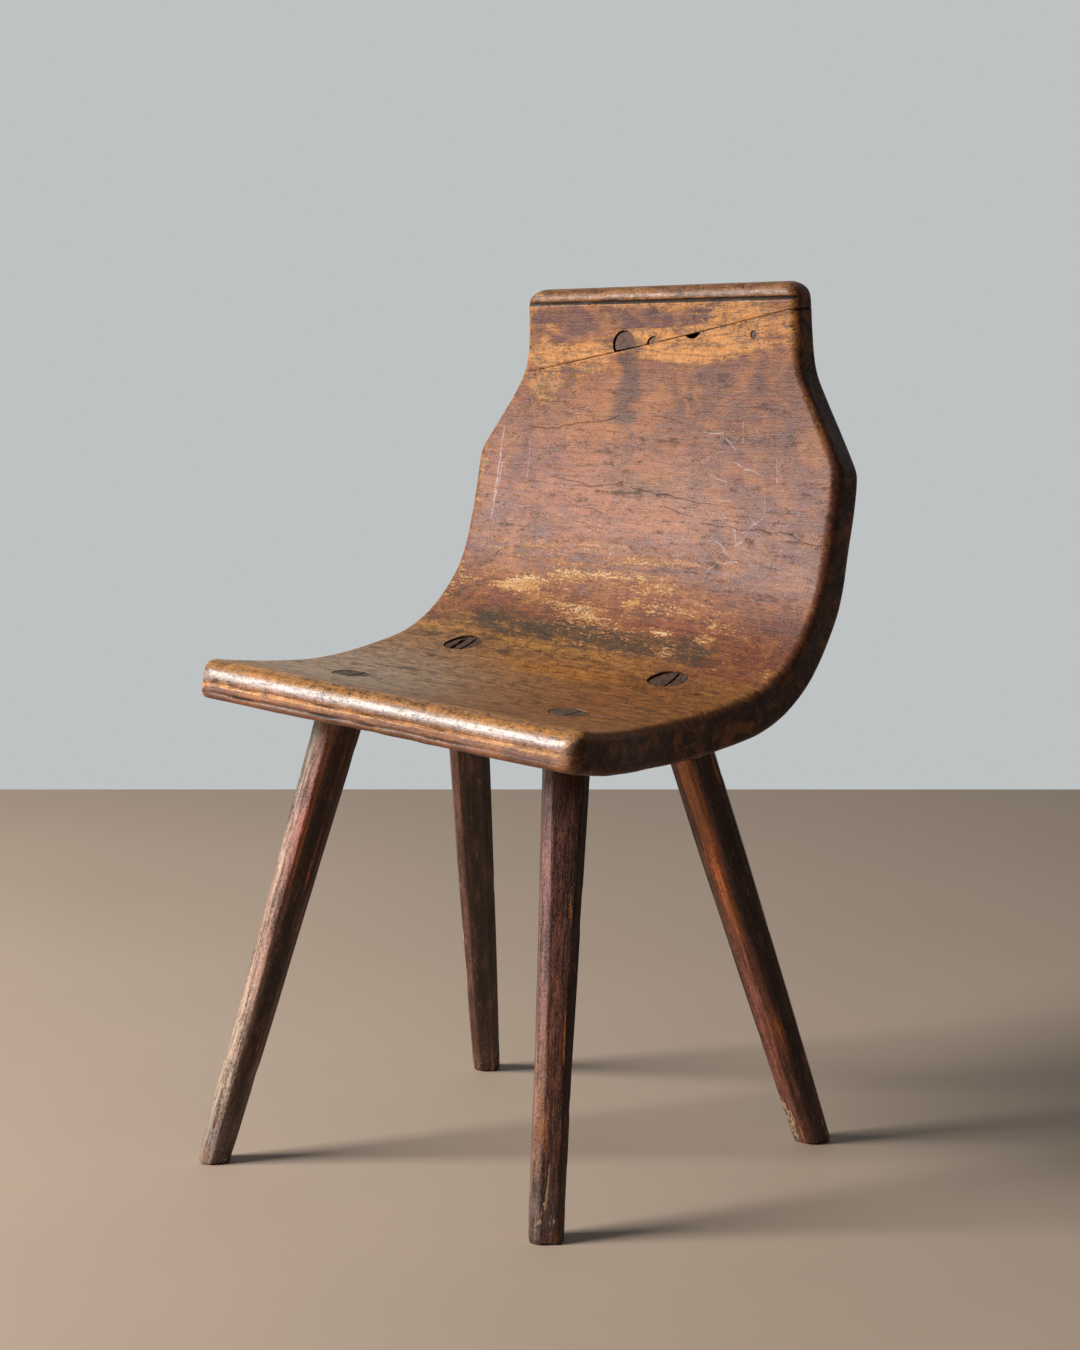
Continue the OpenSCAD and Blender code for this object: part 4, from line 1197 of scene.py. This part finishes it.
def hidden_dowel_wood():
    """Clean straight-grained wood for the dowels inside the splice."""
    f = Finish("dowel_wood")
    where = f.add("ShaderNodeTexCoord", {}).outputs["Object"]
    grain = f.noise(where, (700, 500, 30), 4, 0.6)
    colour = f.shade(rgb("#b68b57"), (grain, 0.6))
    return f.done(colour, f.total((grain, 0.15), (1.0, 0.6)), grain, 0.2 * MM)


# ---- Putting the chair together ----

# Each mortise has broken out beside its shrunken tenon, the rear ones to the left and the front ones
# forwards: leg, how far across and along the board, and how deep, in millimetres
BREAKOUTS = [(0, 1.6, -4.6, 5), (1, 2.0, -4.8, 6), (2, -3.0, 1.6, 16), (3, -3.4, 2.4, 12)]
NOTCH_X = 135 * MM
NOTCH_S = 119 * MM
# Old holes beside the seam: x, height over the seam, radius and depth, in millimetres
LOWER_HOLES = [(41.5, 8, 11.0, 14), (113, -10, 3.7, 24)]
UPPER_HOLES = [(-38.6, 3.5, 13.9, 18), (-3.5, -1.6, 8.1, 18)]


def build_board(material):
    """The lower board with its mortises, notch and holes, and the top piece with its own two holes."""
    lower = make_lower_board()
    holes = []
    for i, across, along, deep in BREAKOUTS:
        _, head, (_, _, axis) = leg_frame(i)
        mortise = cylinder("mortise", head - 75 * MM * axis, axis, TENON_R + TENON_PLAY, 100 * MM)
        breakout = cylinder("breakout", head - deep * MM * axis, axis, TENON_R - 0.2 * MM, 40 * MM)
        move_to(mortise, lengthened(vertices(mortise), i))
        move_to(breakout, lengthened(vertices(breakout), i) + [across * MM, along * MM, 0])
        holes += [mortise, breakout]
    notch = board_point(np.array([NOTCH_X]), np.array([NOTCH_S]), np.zeros(1))[0] + SHIFT
    holes.append(cylinder("notch", notch - [0, 0, 7 * MM], [0, 0, 1], 3.6 * MM, 20 * MM, 1 * MM, 24))
    cut(lower, holes + [old_hole(*hole) for hole in LOWER_HOLES])
    weather_board(lower)
    finish_piece(lower, material, "board_paint", "seat_back_board")

    upper = make_top_board()
    cut(upper, [old_hole(*hole) for hole in UPPER_HOLES])
    weather_board(upper)
    finish_piece(upper, material, "top_piece_wood", "back_top_piece")


# Name, node, x, height over the seam, radius, depth, how far it is sunk in millimetres, two colours
PLUGS = [("large_old_plug", "large_plug", -38, 3, 12.9, 17.5, 1.3, ("#5e3a2c", "#37211a")),
         ("small_old_plug", "small_plug", -3, -2, 7.3, 17.5, 1.2, ("#8f6238", "#5a3b22")),
         ("splice_peg", "dowel_peg", 113, -10, 3.45, 23, 0.4, ("#5a4c42", "#37291f"))]


def build_plugs():
    """Two old plugs cut off by the seam, and the peg that pins the right dowel, each a little domed."""
    for name, node, x, above, radius, deep, sink, colours in PLUGS:
        point = at_seam(x * MM, above * MM)
        bottom = point - OUT_OF_BACK * deep * MM
        plug = cylinder(name, bottom, OUT_OF_BACK, radius * MM, (deep - sink) * MM, 1.5 * MM, 64)
        if node != "dowel_peg":
            cut(plug, [make_seam_block()], "INTERSECT")
        co = vertices(plug)
        out = (co - point) @ OUT_OF_BACK
        from_middle = np.linalg.norm(co - point - out[:, None] * OUT_OF_BACK, axis=1)
        worn = rise(out + sink * MM, -1 * MM, 0) * 0.5 * MM
        worn = worn * np.clip(from_middle / (radius * MM), 0, 1) ** 2
        move_to(plug, co - worn[:, None] * OUT_OF_BACK)
        side, up = square_pair(OUT_OF_BACK)
        weather_end(plug, point, side, up, OUT_OF_BACK)
        finish_piece(plug, old_end_grain(name + "_wood", *colours), "plug_wood", node)


def make_seam_block():
    """A block whose lower face lies on the seam, to cut the plugs off with it."""
    run = np.array([1, 0, 0]) + UP_BACK * SEAM_SLOPE
    run = run / np.linalg.norm(run)
    up = np.cross(OUT_OF_BACK, run)
    low = at_seam(0, 0) + up * SEAM_GAP / 2
    corners = [low + run * a * 0.1 + OUT_OF_BACK * b * 0.05 + up * c * 0.1
               for c in (0, 1) for a, b in ((-1, -1), (1, -1), (1, 1), (-1, 1))]
    faces = [[0, 1, 2, 3], [4, 5, 6, 7], [0, 1, 5, 4], [1, 2, 6, 5], [2, 3, 7, 6], [3, 0, 4, 7]]
    return new_piece("seam_block", np.array(corners), np.array(faces))


# How far each wedge's kerf has opened on its left and its right, in millimetres
WEDGE_GAPS = [(0.1, 0.2), (0.1, 0.2), (0.2, 0.3), (2.0, 0.2)]
# Splits in a tenon's end: leg, offset from the wedge, width and length in millimetres
SPLITS = [(2, -12.0, 6.0, 27)]


def old_split(i, offset, width, length):
    """A ragged split in a tenon's end, beside its wedge: a bar whose two sides wander by noise."""
    split = wedge_bar("split", i, width * MM, 0.4 * width * MM, offset * MM, KERF_OVER, length * MM)
    middle, across, along, _ = wedge_place(i)
    points = vertices(split)
    t = (points - middle) @ along
    a = (points - middle) @ across - offset * MM
    wander = 1.1 * MM * mottle(t, a, 3.2 * MM, 1.2 * MM, 180) + 0.7 * MM * mottle(t, a, 8 * MM, 6 * MM, 181)
    move_to(split, points + wander[:, None] * across)
    return split


def build_legs(leg_material):
    """Each leg with the kerf for its wedge, and the wedge, trimmed to the tenon and worn level."""
    wedge_material = old_end_grain("wedge_wood", "#66503f", "#3a2a20")
    for i, name in enumerate(LEG_NAMES):
        left_gap, right_gap = WEDGE_GAPS[i]
        kerf_head = WEDGE_HEAD + (left_gap + right_gap) * MM
        leg = make_leg(i)
        kerf = wedge_bar("kerf", i, kerf_head, KERF_TIP, (right_gap - left_gap) / 2 * MM, KERF_OVER)
        cut(leg, [kerf] + [old_split(*split) for split in SPLITS if split[0] == i])
        weather_leg(leg, i)
        finish_piece(leg, leg_material, "leg_paint", name + "_leg")
        wedge = wedge_bar(name + "_tenon_wedge", i, WEDGE_HEAD, WEDGE_TIP, 0, 9 * MM)
        _, head, (_, _, axis) = leg_frame(i)
        bore = cylinder("bore", head - 45 * MM * axis, axis, TENON_R - 0.4 * MM, 58 * MM)
        move_to(bore, lengthened(vertices(bore), i))
        cut(wedge, [bore], "INTERSECT")
        # Its head is worn down level with the tenon's end
        for _ in range(3):
            points = vertices(wedge)
            _, _, n = board_place(points - SHIFT)
            proud = np.maximum(n + TENON_SINK[i] + 0.25 * MM, 0)
            move_to(wedge, points - proud[:, None] * axis / axis[2])
        middle, across, along, _ = wedge_place(i)
        weather_end(wedge, middle, along, across, axis)
        finish_piece(wedge, wedge_material, "wedge_wood", name + "_wedge")


def finish_dowels(material):
    """The two hidden dowels stay as they are and only get their wood."""
    for dowel in ("left_dowel", "right_dowel"):
        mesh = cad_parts[dowel].data
        mesh.materials.clear()
        mesh.materials.append(material)


build_board(worn_board_paint())
build_legs(worn_leg_paint())
build_plugs()
finish_dowels(hidden_dowel_wood())

# ---- Floor, light and camera ----

CAMERA_TURN = 39.5 * DEG
CAMERA_DIP = 8.3 * DEG
CAMERA_PLACE = (1.736, -2.0803, 0.840)
LENS_MM = 80
SENSOR_MM = 36
FLOOR_NEAR = 9.0
FLOOR_FAR = 1.83
FLOOR_HALF = 9.0
AIM_HEIGHT = 0.45
DIM_SIDE = 0.115
PALE_SIDE = 0.85


def camera_right():
    """The level direction to the camera's right."""
    return np.array([math.cos(CAMERA_TURN), math.sin(CAMERA_TURN), 0])


def camera_forward():
    """The level direction away from the camera."""
    return np.array([-math.sin(CAMERA_TURN), math.cos(CAMERA_TURN), 0])


def plain_floor():
    """A square of pale floor turned with the camera, its far edge behind the chair."""
    across, away = camera_right(), camera_forward()
    corners = [across * a * FLOOR_HALF + away * b
               for a, b in ((-1, -FLOOR_NEAR), (1, -FLOOR_NEAR), (1, FLOOR_FAR), (-1, FLOOR_FAR))]
    floor = new_piece("floor", np.array(corners), np.array([[0, 1, 2, 3]]))
    f = Finish("floor_finish")
    where = f.add("ShaderNodeTexCoord", {}).outputs["Object"]
    cloud = f.noise(where, (2.2, 2.2, 2.2), 4, 0.6)
    colour = f.shade(rgb("#b4a08e"), (cloud, 0.15))
    floor.data.materials.append(f.done(colour, 0.7, cloud, 0.1 * MM))


def add_camera():
    """A level-held camera at the front right, looking a little down."""
    data = bpy.data.cameras.new("camera")
    data.lens = LENS_MM
    data.sensor_width = SENSOR_MM
    camera = bpy.data.objects.new("camera", data)
    camera.location = CAMERA_PLACE
    camera.rotation_euler = (math.pi / 2 - CAMERA_DIP, 0, CAMERA_TURN)
    bpy.context.scene.collection.objects.link(camera)
    bpy.context.scene.camera = camera


def add_window(name, side, front, up, size, power, colour):
    """A square light at side, front and up from the chair as the camera sees it, aimed at the seat."""
    data = bpy.data.lights.new(name, "AREA")
    data.shape = "SQUARE"
    data.size = size
    data.energy = power
    data.color = colour
    lamp = bpy.data.objects.new(name, data)
    place = camera_right() * side - camera_forward() * front + np.array([0, 0, up])
    aim = np.array([0, 0, AIM_HEIGHT]) - place
    lamp.location = place
    turn = math.atan2(-aim[0], aim[1])
    lamp.rotation_euler = (math.atan2(math.hypot(aim[0], aim[1]), -aim[2]), 0, turn)
    bpy.context.scene.collection.objects.link(lamp)


def pale_room():
    """A pale wall behind the chair that lights it softly, and a dim room on the viewer's side."""
    world = bpy.data.worlds.new("pale_room")
    bpy.context.scene.world = world
    world.use_nodes = True
    nodes, links = world.node_tree.nodes, world.node_tree.links
    background = nodes["Background"]
    background.inputs["Color"].default_value = rgb("#bfc2c3")
    way = nodes.new("ShaderNodeTexCoord").outputs["Generated"]
    facing = nodes.new("ShaderNodeVectorMath")
    facing.operation = "DOT_PRODUCT"
    links.new(way, facing.inputs[0])
    facing.inputs[1].default_value = camera_forward()
    wall = nodes.new("ShaderNodeMapRange")
    wall.interpolation_type = "SMOOTHSTEP"
    links.new(facing.outputs["Value"], wall.inputs[0])
    for socket, value in ((1, 0.3), (2, 0.9), (3, DIM_SIDE), (4, PALE_SIDE)):
        wall.inputs[socket].default_value = value
    seen = nodes.new("ShaderNodeMath")
    seen.operation = "MAXIMUM"
    links.new(wall.outputs[0], seen.inputs[0])
    links.new(nodes.new("ShaderNodeLightPath").outputs["Is Camera Ray"], seen.inputs[1])
    links.new(seen.outputs[0], background.inputs["Strength"])


plain_floor()
add_camera()
add_window("window", -3.3, 0.6, 2.2, 1.5, 234, (1.0, 0.97, 0.93))
pale_room()
bpy.context.scene.view_settings.view_transform = "Standard"
